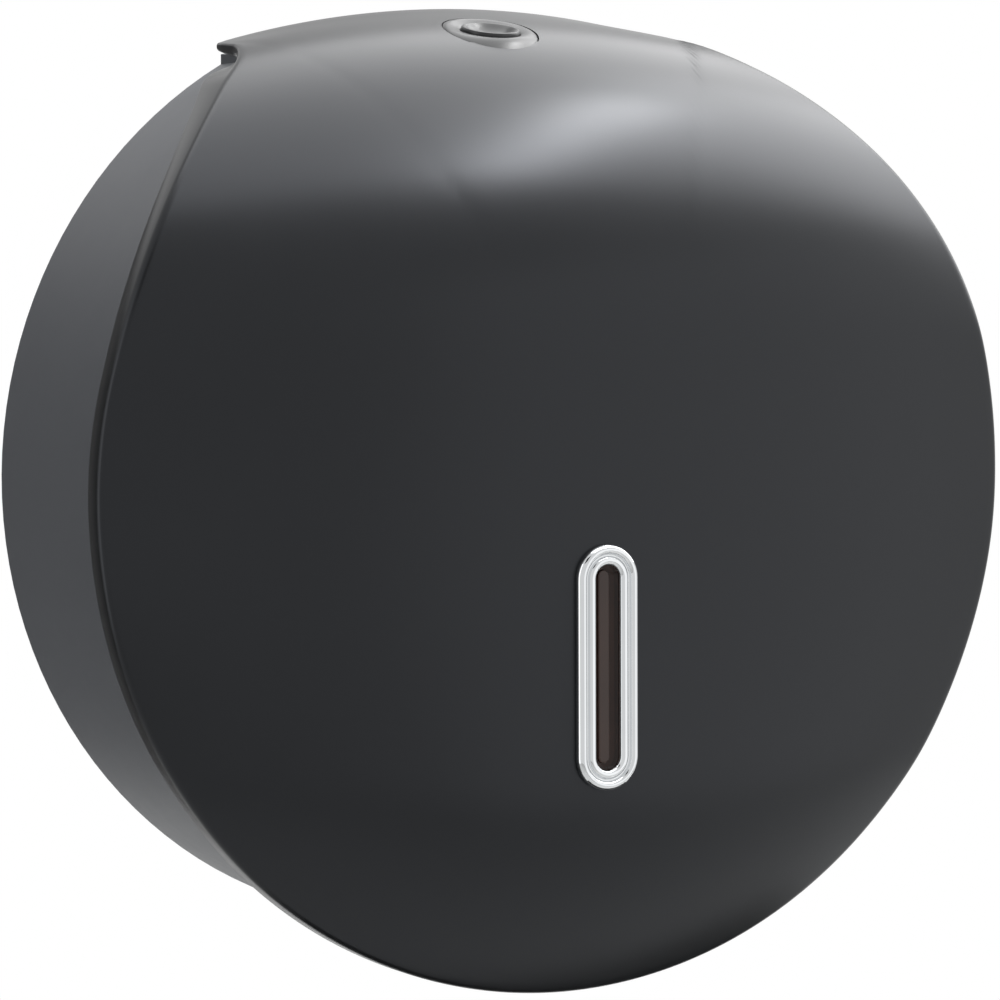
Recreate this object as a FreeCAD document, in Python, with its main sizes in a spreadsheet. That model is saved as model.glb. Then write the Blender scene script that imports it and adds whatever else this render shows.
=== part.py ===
import FreeCAD, Part
import os
import re
import Sketcher

# Jumbo toilet roll dispenser, wall hung. X runs to the viewer's right, Z up and Y into the wall.
# The wall is the plane Y = 0, so the depth of a point in front of the wall is minus its Y.

SIZES = [
    # the round cover: a crowned sheet cut to a circle, with a visor over the top and a short skirt
    ("cover_radius", 136.0),
    ("cover_wall", 2.6),
    ("skirt_depth", 6.4),
    ("visor_skirt_depth", 38.0),
    ("front_depth", 104.4),
    ("visor_back_depth", 13.6),
    ("visor_drop", 9.8),
    ("visor_slope", 10.4),
    ("chin_rise", 61.0),
    ("chin_radius", 103.0),
    ("chin_sweep", 45.0),
    ("sheet_margin", 6.0),
    ("cutter_reach", 3.0),
    ("sheet_block_depth", 36.0),
    # the drum-shaped rear housing
    ("skirt_gap", 1.0),
    ("drum_taper", 5.6),
    ("drum_wall", 2.6),
    ("back_thickness", 3.2),
    ("rim_gap", 1.0),
    ("platform_width_share", 0.4485),
    ("platform_drop", 5.4),
    ("mouth_width_share", 0.4559),
    ("mouth_rise", 66.0),
    ("mouth_lip", 12.0),
    ("rib_width", 2.4),
    ("rib_depth", 5.0),
    ("rib_ring_radius", 58.0),
    ("wall_screw_pitch_x", 120.0),
    ("wall_screw_pitch_z", 110.0),
    ("wall_screw_radius", 2.75),
    ("wall_pad_radius", 9.0),
    ("wall_pad_depth", 6.0),
    # roll spindle
    ("axle_radius", 8.0),
    ("axle_flange_radius", 29.0),
    ("axle_flange_thickness", 4.0),
    ("axle_front_gap", 24.4),
    ("post_screw_circle", 21.0),
    ("post_screw_radius", 2.0),
    ("post_screw_head_radius", 3.8),
    ("post_screw_head_height", 2.2),
    ("post_screw_length", 7.0),
    ("running_gap", 0.05),
    ("hub_end_gap", 0.4),
    ("hub_tube_wall", 2.4),
    ("hub_radius", 24.0),
    ("hub_wall", 2.2),
    ("hub_flange_radius", 33.0),
    ("hub_flange_thickness", 2.6),
    ("hub_spoke_width", 2.2),
    ("hub_web_setback", 9.0),
    ("washer_radius", 12.5),
    ("washer_thickness", 1.2),
    ("spindle_screw_radius", 2.5),
    ("spindle_screw_length", 14.0),
    ("spindle_screw_head_radius", 4.8),
    ("spindle_screw_head_height", 3.2),
    ("screw_top_share", 0.7),
    ("cap_thickness", 2.0),
    ("cap_dome", 3.2),
    ("cap_skirt", 5.0),
    # hinge at the bottom of the cover
    ("hinge_setback", 32.4),
    ("hinge_rise", 28.0),
    ("hinge_ear_root", 17.0),
    ("hinge_ear_radius", 5.6),
    ("hinge_pin_radius", 2.0),
    ("hinge_pin_seat", 9.0),
    ("hinge_side_gap", 0.4),
    ("hinge_lug_width", 7.0),
    ("hinge_lug_radius", 5.0),
    ("hinge_relief_radius", 15.6),
    ("hinge_relief_width", 5.4),
    # key lock in the visor
    ("lock_setback", 27.4),
    ("lock_tilt", 11.0),
    ("lock_recess_radius", 13.3),
    ("lock_recess_depth", 1.9),
    ("lock_boss_radius", 16.0),
    ("lock_boss_depth", 5.0),
    ("lock_flange_radius", 11.8),
    ("lock_flange_height", 0.9),
    ("lock_sleeve_radius", 10.0),
    ("lock_sleeve_length", 11.5),
    ("lock_barrel_radius", 8.0),
    ("lock_barrel_rise", 1.4),
    ("lock_barrel_chamfer", 0.56),
    ("lock_dish_radius", 6.6),
    ("lock_dish_depth", 1.5),
    ("lock_key_radius", 3.4),
    ("lock_key_depth", 9.0),
    ("lock_washer_radius", 13.6),
    ("lock_washer_thickness", 0.8),
    ("lock_nut_flats", 24.0),
    ("lock_nut_height", 2.8),
    ("lock_end_gap", 0.3),
    ("lock_tail_width", 6.0),
    ("lock_cam_thickness", 2.4),
    ("lock_cam_width", 11.0),
    ("lock_cam_length", 21.0),
    ("lock_cam_screw_radius", 1.5),
    ("lock_cam_screw_length", 7.0),
    ("lock_cam_screw_head_radius", 3.4),
    ("lock_cam_screw_head_height", 2.0),
    # strike for the lock's cam
    ("strike_thickness", 1.6),
    ("strike_inner_x", 11.6),
    ("strike_width", 13.0),
    ("strike_clearance", 0.9),
    ("strike_hook_gap", 0.5),
    ("strike_hook_drop", 5.4),
    ("strike_seat_length", 12.0),
    ("strike_screw_radius", 1.5),
    ("strike_screw_length", 7.0),
    ("strike_screw_head_radius", 2.6),
    ("strike_screw_head_height", 1.8),
    ("strike_boss_margin", 1.0),
    ("strike_boss_height", 20.8),
    # sight window in the front
    ("window_height_share", 0.3419),
    ("bezel_half_width", 9.1),
    ("bezel_half_length", 32.6),
    ("bezel_rise", 2.4),
    ("bezel_round", 1.5),
    ("bezel_inner_half_width", 3.5),
    ("bezel_inner_half_length", 27.4),
    ("bezel_groove_offset", 2.6),
    ("bezel_groove_width", 0.9),
    ("bezel_groove_depth", 0.8),
    ("bezel_neck_inset", 1.8),
    ("bezel_neck_length", 4.4),
    ("fit_gap", 0.1),
    ("lens_margin", 2.4),
    ("lens_thickness", 1.6),
    ("lens_strip_half_width", 1.75),
    ("lens_strip_rise", 0.9),
    ("lens_fit_gap", 0.05),
    ("lens_seat_depth", 2.6),
    ("retainer_thickness", 0.8),
    # serrated strips along both sides of the paper outlet
    ("tear_strip_rise", 32.0),
    ("tear_strip_thickness", 1.0),
    ("tear_hinge_gap", 10.0),
    ("tear_strip_reach", 4.0),
    ("tear_strip_width", 9.5),
    ("tear_ledge_setback", 1.0),
    ("tear_ledge_thickness", 3.0),
    ("tear_end_gap", 1.0),
    ("tear_screw_inset", 5.0),
    ("tear_tooth_pitch", 3.0),
    ("tear_tooth_depth", 2.2),
    ("tear_screw_radius", 1.5),
    ("tear_screw_length", 5.0),
    ("tear_screw_head_radius", 2.9),
    ("tear_screw_head_height", 1.8),
    # rubber buffers under the closed visor
    ("bumper_x", 20.0),
    ("bumper_depth", 18.0),
    ("bumper_radius", 4.0),
    ("bumper_height", 2.3),
    ("bumper_gap", 0.3),
    ("overrun", 1.0),
]

# Sizes and places that follow from the ones above.
FOLLOWING = {
    "visor_back_height": "cover_radius - visor_drop",
    "shoulder_radius": "front_depth - visor_back_depth",
    "chin_height": "chin_rise - cover_radius",
    "platform_half_width": "cover_radius * platform_width_share",
    "mouth_half_width": "cover_radius * mouth_width_share",
    "mouth_height": "mouth_rise - cover_radius",
    "axle_end_depth": "front_depth - axle_front_gap",
    "hinge_depth": "front_depth - hinge_setback",
    "hinge_height": "hinge_rise - cover_radius",
    "hinge_ear_inner": "mouth_half_width",
    "hinge_ear_outer": "mouth_half_width + hinge_ear_root",
    "lock_depth": "visor_back_depth + lock_setback",
    "window_height": "-cover_radius * window_height_share",
    "tear_strip_height": "tear_strip_rise - cover_radius",
    "tear_strip_length": "hinge_depth - mouth_lip - tear_hinge_gap",
    "tear_strip_inner": "mouth_half_width - tear_strip_reach",
    "tear_strip_outer": "tear_strip_inner + tear_strip_width",
    "tear_ledge_inner": "tear_strip_inner + tear_ledge_setback",
    "tear_screw_x": "tear_strip_inner + tear_screw_inset",
}

# Stations of the crowned sheet from the visor's back edge to the chin. Each has the share of its
# stretch that it stands at, and the crown's radius as a share of the cover's radius.
SHOULDER_SHARES = [(0.0, 2.65), (0.22, 2.98), (0.45, 3.08), (0.67, 3.03), (0.85, 3.06), (1.0, 3.20)]
VISOR_CROWN_SHARE = 2.00
FRONT_SHARES = [(0.25, 3.33), (0.5, 3.32), (0.75, 2.98), (1.0, 2.50)]
CHIN_SHARES = [(1 / 3, 2.03), (2 / 3, 1.79), (1.0, 1.70)]

doc = FreeCAD.newDocument("RollDispenser")
sheet = doc.addObject("Spreadsheet::Sheet", "Sizes")
for row, (alias, value) in enumerate(SIZES, start=1):
    sheet.set("A%d" % row, alias)
    sheet.set("B%d" % row, str(value))
    sheet.setAlias("B%d" % row, alias)
doc.recompute()

ALIASES = {alias for alias, value in SIZES}
PARTS = []


def bound(text):
    """The expression with following sizes written out and every size name pointing at the sheet."""
    def spelled(word):
        name = word.group()
        if name in FOLLOWING:
            return "(" + bound(FOLLOWING[name]) + ")"
        return "Sizes." + name if name in ALIASES else name

    return re.sub(r"[a-z_]+", spelled, text)


def value(text):
    """The number that an expression in the sheet's sizes gives."""
    return float(sheet.evalExpression(bound(text)))


def place(piece, base=("0", "0", "0"), tilt="0"):
    """Turn a piece about X by tilt and put its origin at base, both bound to the sheet."""
    turn = FreeCAD.Rotation(FreeCAD.Vector(1, 0, 0), value(tilt))
    piece.Placement = FreeCAD.Placement(FreeCAD.Vector(*[value(text) for text in base]), turn)
    for axis, text in zip("xyz", base):
        piece.setExpression("Placement.Base." + axis, bound(text))
    if tilt != "0":
        piece.setExpression("Placement.Rotation.Angle", bound(tilt))
    return piece


def cylinder(name, radius, length, base=("0", "0", "0"), tilt="0"):
    """A cylinder along the tilted Z axis: tilt 90 points out from the wall, 0 points up."""
    piece = doc.addObject("Part::Cylinder", name)
    piece.setExpression("Radius", bound(radius))
    piece.setExpression("Height", bound(length))
    return place(piece, base, tilt)


def cross_cylinder(name, radius, x_start, length, depth, height):
    """A cylinder along X that starts at x_start."""
    piece = doc.addObject("Part::Cylinder", name)
    piece.setExpression("Radius", bound(radius))
    piece.setExpression("Height", bound(length))
    turn = FreeCAD.Rotation(FreeCAD.Vector(0, 1, 0), 90)
    piece.Placement = FreeCAD.Placement(FreeCAD.Vector(0, 0, 0), turn)
    for axis, text in zip("xyz", (x_start, "-(%s)" % depth, height)):
        piece.setExpression("Placement.Base." + axis, bound(text))
    return piece


def box(name, size, base, tilt="0"):
    """A box of size (x, y, z) with its low corner at base."""
    piece = doc.addObject("Part::Box", name)
    for prop, text in zip(("Length", "Width", "Height"), size):
        piece.setExpression(prop, bound(text))
    return place(piece, base, tilt)


def fuse(name, pieces):
    """One solid from pieces that touch or overlap."""
    result = doc.addObject("Part::MultiFuse", name)
    result.Shapes = pieces
    result.Refine = True
    return result


def cut(name, base, tool):
    """base without tool."""
    result = doc.addObject("Part::Cut", name)
    result.Base = base
    result.Tool = tool
    return result


def common(name, first, second):
    """What two pieces share."""
    result = doc.addObject("Part::Common", name)
    result.Base = first
    result.Tool = second
    return result


def finish(label, piece):
    """Name a finished sub-part, which gives its file its name."""
    piece.Label = label
    PARTS.append(piece)
    return piece


def origin_plane(body, role):
    """One of the body's own origin planes."""
    return [item for item in body.Origin.OriginFeatures if item.Role == role][0]


def new_sketch(body, name, role, offset=("0", "0", "0"), tilt="0"):
    """A sketch on an origin plane of its body, moved and tilted about its own X axis."""
    sketch = body.newObject("Sketcher::SketchObject", name)
    sketch.AttachmentSupport = (origin_plane(body, role), [""])
    sketch.MapMode = "FlatFace"
    turn = FreeCAD.Rotation(FreeCAD.Vector(1, 0, 0), value(tilt))
    sketch.AttachmentOffset = FreeCAD.Placement(FreeCAD.Vector(*[value(text) for text in offset]), turn)
    for axis, text in zip("xyz", offset):
        if text != "0":
            sketch.setExpression("AttachmentOffset.Base." + axis, bound(text))
    if tilt != "0":
        sketch.setExpression("AttachmentOffset.Rotation.Angle", bound(tilt))
    return sketch


def bind(sketch, kind, *target, text):
    """Add a dimension to a sketch and bind it to the sheet."""
    index = sketch.addConstraint(Sketcher.Constraint(kind, *target, value(text)))
    sketch.setExpression("Constraints[%d]" % index, bound(text))


def draw_polygon(sketch, corners):
    """A closed outline whose corners are pairs of expressions."""
    points = [FreeCAD.Vector(value(across), value(up), 0) for across, up in corners]
    count = len(corners)
    for index, start in enumerate(points):
        sketch.addGeometry(Part.LineSegment(start, points[(index + 1) % count]), False)
    for index in range(count):
        sketch.addConstraint(Sketcher.Constraint("Coincident", index, 2, (index + 1) % count, 1))
    for index, (across, up) in enumerate(corners):
        bind(sketch, "DistanceX", -1, 1, index, 1, text=across)
        bind(sketch, "DistanceY", -1, 1, index, 1, text=up)


def draw_slot(sketch, half_width, half_length, height="0"):
    """An upright slot with round ends, centred on the sketch's Y axis at a height."""
    reach = "(%s) - (%s)" % (half_length, half_width)
    radius, run, middle = value(half_width), value(reach), value(height)
    top = FreeCAD.Vector(0, middle + run, 0)
    bottom = FreeCAD.Vector(0, middle - run, 0)
    side = FreeCAD.Vector(radius, 0, 0)
    up = FreeCAD.Vector(0, 0, 1)
    half_turn = FreeCAD.Units.Quantity("180 deg").getValueAs("rad").Value
    sketch.addGeometry(Part.ArcOfCircle(Part.Circle(top, up, radius), 0, half_turn), False)
    sketch.addGeometry(Part.LineSegment(top - side, bottom - side), False)
    sketch.addGeometry(Part.ArcOfCircle(Part.Circle(bottom, up, radius), half_turn, 2 * half_turn), False)
    sketch.addGeometry(Part.LineSegment(bottom + side, top + side), False)
    for first, first_end, second, second_end in ((0, 2, 1, 1), (1, 2, 2, 1), (2, 2, 3, 1), (3, 2, 0, 1)):
        sketch.addConstraint(Sketcher.Constraint("Tangent", first, first_end, second, second_end))
    sketch.addConstraint(Sketcher.Constraint("Vertical", 1))
    bind(sketch, "Radius", 0, text=half_width)
    for arc, place_text in ((0, "(%s) + %s" % (height, reach)), (2, "(%s) - (%s)" % (height, reach))):
        sketch.addConstraint(Sketcher.Constraint("PointOnObject", arc, 3, -2))
        bind(sketch, "DistanceY", -1, 1, arc, 3, text=place_text)


def turned(name, outline, base=("0", "0", "0"), tilt="90"):
    """A turned piece: outline holds (radius, distance along the axis), the axis is the tilted Z."""
    body = doc.addObject("PartDesign::Body", name)
    sketch = new_sketch(body, name + "_outline", "XZ_Plane")
    draw_polygon(sketch, outline)
    turning = body.newObject("PartDesign::Revolution", name + "_turning")
    turning.Profile = sketch
    turning.ReferenceAxis = (sketch, ["V_Axis"])
    turning.Angle = 360
    body.Tip = turning
    return place(body, base, tilt)


def padded(name, length, draw, base=("0", "0", "0"), tilt="0"):
    """A piece of even thickness: draw fills its sketch in the XY plane, and it rises along Z."""
    body = doc.addObject("PartDesign::Body", name)
    sketch = new_sketch(body, name + "_outline", "XY_Plane")
    draw(sketch)
    pad = body.newObject("PartDesign::Pad", name + "_pad")
    pad.Profile = sketch
    pad.setExpression("Length", bound(length))
    body.Tip = pad
    return place(body, base, tilt)


def slot_plate(name, half_width, half_length, back, front):
    """A slot-shaped plate in the front of the cover between two depths."""
    return padded(name, "(%s) - (%s)" % (front, back),
                  lambda sketch: draw_slot(sketch, half_width, half_length, "window_height"),
                  base=("0", "-(%s)" % back, "0"), tilt="90")


# The crowned sheet follows this line in the middle plane: a straight visor, the shoulder's arc,
# the upright front and the chin's arc.
SHOULDER_DEPTH = "(front_depth - shoulder_radius)"
VISOR_END_DEPTH = "(%s + shoulder_radius * sin(visor_slope))" % SHOULDER_DEPTH
VISOR_END_HEIGHT = "(visor_back_height - (%s - visor_back_depth) * tan(visor_slope))" % VISOR_END_DEPTH
SHOULDER_HEIGHT = "(%s - shoulder_radius * cos(visor_slope))" % VISOR_END_HEIGHT


def sheet_stations(reach):
    """Name, tilt, depth, height and crown radius at each station; reach lengthens both ends."""
    crown = "cover_radius * %.2f"
    depth = "visor_back_depth - %s * cos(visor_slope)" % reach
    height = "visor_back_height + %s * sin(visor_slope)" % reach
    yield "visor", "visor_slope", depth, height, crown % VISOR_CROWN_SHARE
    for share, crown_share in SHOULDER_SHARES:
        tilt = "(visor_slope + (90 - visor_slope) * %.2f)" % share
        depth = "%s + shoulder_radius * sin(%s)" % (SHOULDER_DEPTH, tilt)
        height = "%s + shoulder_radius * cos(%s)" % (SHOULDER_HEIGHT, tilt)
        yield "shoulder%02d" % round(100 * share), tilt, depth, height, crown % crown_share
    for share, crown_share in FRONT_SHARES:
        height = "%s + (chin_height - %s) * %.2f" % (SHOULDER_HEIGHT, SHOULDER_HEIGHT, share)
        yield "front%02d" % round(100 * share), "90", "front_depth", height, crown % crown_share
    for share, crown_share in CHIN_SHARES:
        tilt = "(90 + chin_sweep * %.4f)" % share
        depth = "front_depth - chin_radius * (1 - sin(%s))" % tilt
        height = "chin_height + chin_radius * cos(%s)" % tilt
        if share == 1:
            depth += " + %s * cos(%s)" % (reach, tilt)
            height += " - %s * sin(%s)" % (reach, tilt)
        yield "chin%02d" % round(100 * share), tilt, depth, height, crown % crown_share


def draw_station(sketch, crown, outer, inner, half_width):
    """Two arcs about one centre, outer and inner below the sheet's face, joined at the sides."""
    radius = value(crown)
    half = value(half_width)
    centre = FreeCAD.Vector(0, -radius, 0)
    ends = []
    for below in (outer, inner):
        reach = radius - value(below)
        rise = (reach ** 2 - half ** 2) ** 0.5
        left = FreeCAD.Vector(-half, rise - radius, 0)
        right = FreeCAD.Vector(half, rise - radius, 0)
        circle = Part.Circle(centre, FreeCAD.Vector(0, 0, 1), reach)
        arc = Part.ArcOfCircle(circle, circle.parameter(right), circle.parameter(left))
        sketch.addGeometry(arc, False)
        ends.append((left, right))
    for outer_end, inner_end in zip(*ends):
        sketch.addGeometry(Part.LineSegment(outer_end, inner_end), False)
    for line, end in ((2, 2), (3, 1)):
        sketch.addConstraint(Sketcher.Constraint("Coincident", line, 1, 0, end))
        sketch.addConstraint(Sketcher.Constraint("Coincident", line, 2, 1, end))
    sketch.addConstraint(Sketcher.Constraint("PointOnObject", 0, 3, -2))
    sketch.addConstraint(Sketcher.Constraint("Coincident", 1, 3, 0, 3))
    bind(sketch, "DistanceY", 0, 3, -1, 1, text=crown)
    bind(sketch, "Radius", 0, text="%s - (%s)" % (crown, outer))
    bind(sketch, "Radius", 1, text="%s - (%s)" % (crown, inner))
    for arc in (0, 1):
        bind(sketch, "DistanceX", -1, 1, arc, 1, text=half_width)
        bind(sketch, "DistanceX", arc, 2, -1, 1, text=half_width)


def crowned_layer(name, outer, inner, reach="cutter_reach"):
    """The layer between two depths below the sheet's face; a negative depth stands in front of it."""
    body = doc.addObject("PartDesign::Body", name)
    sketches = []
    half_width = "(cover_radius + sheet_margin + %s)" % reach
    for station, tilt, depth, height, crown in sheet_stations(reach):
        sketch = new_sketch(body, name + "_" + station, "XZ_Plane", ("0", height, depth), tilt)
        draw_station(sketch, crown, outer, inner, half_width)
        sketches.append(sketch)
    doc.recompute()
    loft = body.newObject("PartDesign::AdditiveLoft", name + "_loft")
    loft.Profile = sketches[0]
    loft.Sections = [(sketch, [""]) for sketch in sketches[1:]]
    loft.Ruled = False
    body.Tip = loft
    return body


# The cover.
LOCK_FLOOR = "(%s + sqrt(shoulder_radius ^ 2 - (lock_depth - %s) ^ 2) - lock_recess_depth)" % (
    SHOULDER_HEIGHT, SHOULDER_DEPTH)


def on_lock_axis(rise):
    """A point on the lock's axis, rise above the floor of its recess."""
    height = "%s + (%s) * cos(lock_tilt)" % (LOCK_FLOOR, rise)
    return "0", "-(lock_depth + (%s) * sin(lock_tilt))" % rise, height


def lock_cylinder(name, radius, low, high):
    """A cylinder on the lock's axis between two heights over the recess floor."""
    return cylinder(name, radius, "(%s) - (%s)" % (high, low), on_lock_axis(low), "lock_tilt")


def make_cover_shell():
    """The crowned sheet in its circle, its skirt, the lock's boss and recess, and the hinge lugs."""
    face = crowned_layer("cover_face", "0", "sheet_block_depth", "0")
    hollow = crowned_layer("cover_hollow", "cover_wall", "sheet_block_depth + overrun")
    below_skirt = crowned_layer("below_skirt", "skirt_depth", "sheet_block_depth + overrun")
    outside = crowned_layer("outside_cover", "-sheet_block_depth", "cover_wall / 2")
    circle = cylinder("cover_circle", "cover_radius", "cover_radius", tilt="90")
    inner_circle = cylinder("cover_inner_circle", "cover_radius - cover_wall", "cover_radius", tilt="90")
    solid = common("cover_solid", face, circle)
    shell = cut("cover_sheet", solid, common("cover_core", hollow, inner_circle))
    shell = cut("cover_skirted", shell, below_skirt)
    visor_room = box("visor_room", ("2 * cover_radius", "visor_skirt_depth", "cover_radius"),
                     ("-cover_radius", "-visor_skirt_depth", "mouth_half_width"))
    shell = cut("cover_trimmed", shell, common("visor_underside", hollow, visor_room))
    boss = lock_cylinder("lock_boss", "lock_boss_radius", "-lock_boss_depth", "lock_recess_depth")
    lugs = []
    for side in (-1, 1):
        outer_end = "hinge_ear_inner - hinge_side_gap"
        lug_x = outer_end + " - hinge_lug_width" if side > 0 else "-(%s)" % outer_end
        name = "right" if side > 0 else "left"
        eye = cross_cylinder("lug_eye_" + name, "hinge_lug_radius", lug_x, "hinge_lug_width",
                             "hinge_depth", "hinge_height")
        arm = box("lug_arm_" + name, ("hinge_lug_width", "front_depth - hinge_depth", "2 * hinge_lug_radius"),
                  (lug_x, "-front_depth", "hinge_height - hinge_lug_radius"))
        lugs.append(fuse("lug_" + name, [eye, arm]))
    fittings = cut("cover_fittings", fuse("cover_fittings_rough", [boss] + lugs), outside)
    window = [slot_plate("window_slot", "bezel_half_width - bezel_neck_inset + fit_gap",
                         "bezel_half_length - bezel_neck_inset + fit_gap", "front_depth - skirt_depth",
                         "front_depth + overrun"),
              slot_plate("window_seat", "bezel_half_width + fit_gap", "bezel_half_length + fit_gap",
                         "front_depth - skirt_depth", "front_depth - cover_wall"),
              slot_plate("bezel_seat", "bezel_half_width + fit_gap", "bezel_half_length + fit_gap",
                         "front_depth", "front_depth + overrun")]
    for index, cutter in enumerate(window):
        shell = cut("cover_window_%d" % index, shell, cutter)
    shell = fuse("cover_with_fittings", [shell, fittings])
    holes = [lock_cylinder("lock_recess", "lock_recess_radius", "0", "lock_recess_radius"),
             lock_cylinder("lock_hole", "lock_sleeve_radius + fit_gap", "-2 * lock_boss_depth", "overrun"),
             cross_cylinder("lug_bores", "hinge_pin_radius + running_gap", "-hinge_ear_inner",
                            "2 * hinge_ear_inner", "hinge_depth", "hinge_height")]
    return finish("cover_shell", cut("cover_shell_solid", shell, fuse("cover_holes", holes)))


make_cover_shell()


# The rear housing.
def drum(name, inset, back, front):
    """The tapered drum drawn in by inset, between two depths."""
    front_radius = "(cover_radius - cover_wall - skirt_gap)"
    slope = "drum_taper / front_depth"
    radius = front_radius + " - (%s) - %s * (front_depth - (%s))"
    return turned(name, [("0", back), (radius % (inset, slope, back), back),
                         (radius % (inset, slope, front), front), ("0", front)])


PLATFORM_CROWN = "(cover_radius * %.2f)" % VISOR_CROWN_SHARE
PLATFORM_HEIGHT = "(visor_back_height - platform_drop)"


def platform(name, inset, back):
    """The block under the visor: flat sides and a top arc that follows the visor's back edge."""
    half = "(platform_half_width - (%s))" % inset

    def draw(sketch):
        side, low = value(half), value("mouth_half_width")
        crown = value("%s - (%s)" % (PLATFORM_CROWN, inset))
        middle = value(PLATFORM_HEIGHT + " - " + PLATFORM_CROWN)
        rise = middle + (crown ** 2 - side ** 2) ** 0.5
        circle = Part.Circle(FreeCAD.Vector(0, middle, 0), FreeCAD.Vector(0, 0, 1), crown)
        right = FreeCAD.Vector(side, rise, 0)
        left = FreeCAD.Vector(-side, rise, 0)
        sketch.addGeometry(Part.ArcOfCircle(circle, circle.parameter(right), circle.parameter(left)), False)
        corners = [left, FreeCAD.Vector(-side, low, 0), FreeCAD.Vector(side, low, 0), right]
        for start, end in zip(corners, corners[1:]):
            sketch.addGeometry(Part.LineSegment(start, end), False)
        for first, first_end, second, second_end in ((0, 2, 1, 1), (1, 2, 2, 1), (2, 2, 3, 1), (3, 2, 0, 1)):
            sketch.addConstraint(Sketcher.Constraint("Coincident", first, first_end, second, second_end))
        sketch.addConstraint(Sketcher.Constraint("PointOnObject", 0, 3, -2))
        bind(sketch, "DistanceY", 0, 3, -1, 1, text="%s - %s" % (PLATFORM_CROWN, PLATFORM_HEIGHT))
        bind(sketch, "Radius", 0, text="%s - (%s)" % (PLATFORM_CROWN, inset))
        bind(sketch, "DistanceX", -1, 1, 0, 1, text=half)
        bind(sketch, "DistanceX", 0, 2, -1, 1, text=half)
        bind(sketch, "DistanceX", -1, 1, 3, 1, text=half)
        bind(sketch, "DistanceX", 2, 1, -1, 1, text=half)
        bind(sketch, "DistanceY", -1, 1, 2, 1, text="mouth_half_width")
        bind(sketch, "DistanceY", -1, 1, 2, 2, text="mouth_half_width")

    return padded(name, "front_depth - (%s)" % back, draw, base=("0", "-(%s)" % back, "0"), tilt="90")


def casing(name, inset, back, flank):
    """The drum with its top replaced by the platform, drawn in by inset."""
    slab = box(name + "_slab", ("2 * (platform_half_width - (%s))" % inset, "front_depth", "cover_radius"),
               ("-(platform_half_width - (%s))" % inset, "-front_depth + overrun", flank))
    round_part = cut(name + "_round", drum(name + "_drum", inset, back, "front_depth"), slab)
    return fuse(name, [round_part, platform(name + "_platform", inset, back)])


BUMPER_REACH = "(bumper_x + bumper_radius)"
BUMPER_FACE = ("(visor_back_height - (bumper_depth - visor_back_depth) * tan(visor_slope) - %s"
               " + sqrt(%s ^ 2 - %s ^ 2))" % (PLATFORM_CROWN, PLATFORM_CROWN, BUMPER_REACH))
BUMPER_TOP = "(-cover_wall - bumper_gap)"


def bumper_cylinders(name, radius, low, high):
    """Cylinders on both bumpers' axes between two heights over the visor's face."""
    depth = "-(bumper_depth + (%s) * sin(visor_slope))" % low
    height = "%s + (%s) * cos(visor_slope)" % (BUMPER_FACE, low)
    return [cylinder("%s_%d" % (name, side), radius, "(%s) - (%s)" % (high, low),
                     ("%d * bumper_x" % side, depth, height), "visor_slope") for side in (-1, 1)]


SCREW_SIGNS = [(x_sign, z_sign) for x_sign in (-1, 1) for z_sign in (-1, 1)]
POST_SCREW_ANGLES = (90, 210, 330)
POST_SEAT = "(back_thickness + rib_depth)"
SIDES = (("left", -1), ("right", 1))
STRIKE_TOP = "(-lock_sleeve_length - lock_end_gap)"
STRIKE_BACK = "(lock_cam_length + strike_clearance)"
STRIKE_SCREW_SHARES = (0.26, 0.76)
TEAR_SCREW_SHARES = (0.15, 0.85)


def from_side(side, inner, outer):
    """The low X of something that spans inner to outer on one side of the middle plane."""
    return inner if side > 0 else "-(%s)" % outer


def on_strike(rise, back):
    """Y and Z of a point, rise over the lock's recess floor and back from its axis towards the wall."""
    return ("-(lock_depth + (%s) * sin(lock_tilt) - (%s) * cos(lock_tilt))" % (rise, back),
            "%s + (%s) * cos(lock_tilt) + (%s) * sin(lock_tilt)" % (LOCK_FLOOR, rise, back))


def strike_box(name, x_start, rise, back, size):
    """A box in the lock's tilted frame: its size is across, back and rise."""
    return box(name, size, (x_start,) + on_strike(rise, back), "lock_tilt")


def strike_cylinders(name, radius, low, high):
    """Cylinders on the strike's two screw axes between two heights over the recess floor."""
    made = []
    for index, share in enumerate(STRIKE_SCREW_SHARES):
        back = "%s + strike_seat_length * %.2f" % (STRIKE_BACK, share)
        base = ("strike_inner_x + strike_width / 2",) + on_strike(low, back)
        made.append(cylinder("%s_%d" % (name, index), radius, "(%s) - (%s)" % (high, low), base, "lock_tilt"))
    return made


def post_cylinders(name, radius, low, high):
    """Cylinders on the axes of the post's three screws between two depths."""
    return [cylinder("%s_%d" % (name, angle), radius, "(%s) - (%s)" % (high, low),
                     ("post_screw_circle * cos(%d)" % angle, "-(%s)" % low,
                      "post_screw_circle * sin(%d)" % angle), "90") for angle in POST_SCREW_ANGLES]


def tear_cylinders(name, radius, low, high):
    """Upright cylinders on the screw axes of both tear strips between two heights."""
    made = []
    for side_name, side in SIDES:
        for index, share in enumerate(TEAR_SCREW_SHARES):
            along = "-(mouth_lip + tear_end_gap + tear_strip_length * %.2f)" % share
            base = ("%d * tear_screw_x" % side, along, low)
            made.append(cylinder("%s_%s_%d" % (name, side_name, index), radius,
                                 "(%s) - (%s)" % (high, low), base))
    return made


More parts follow.
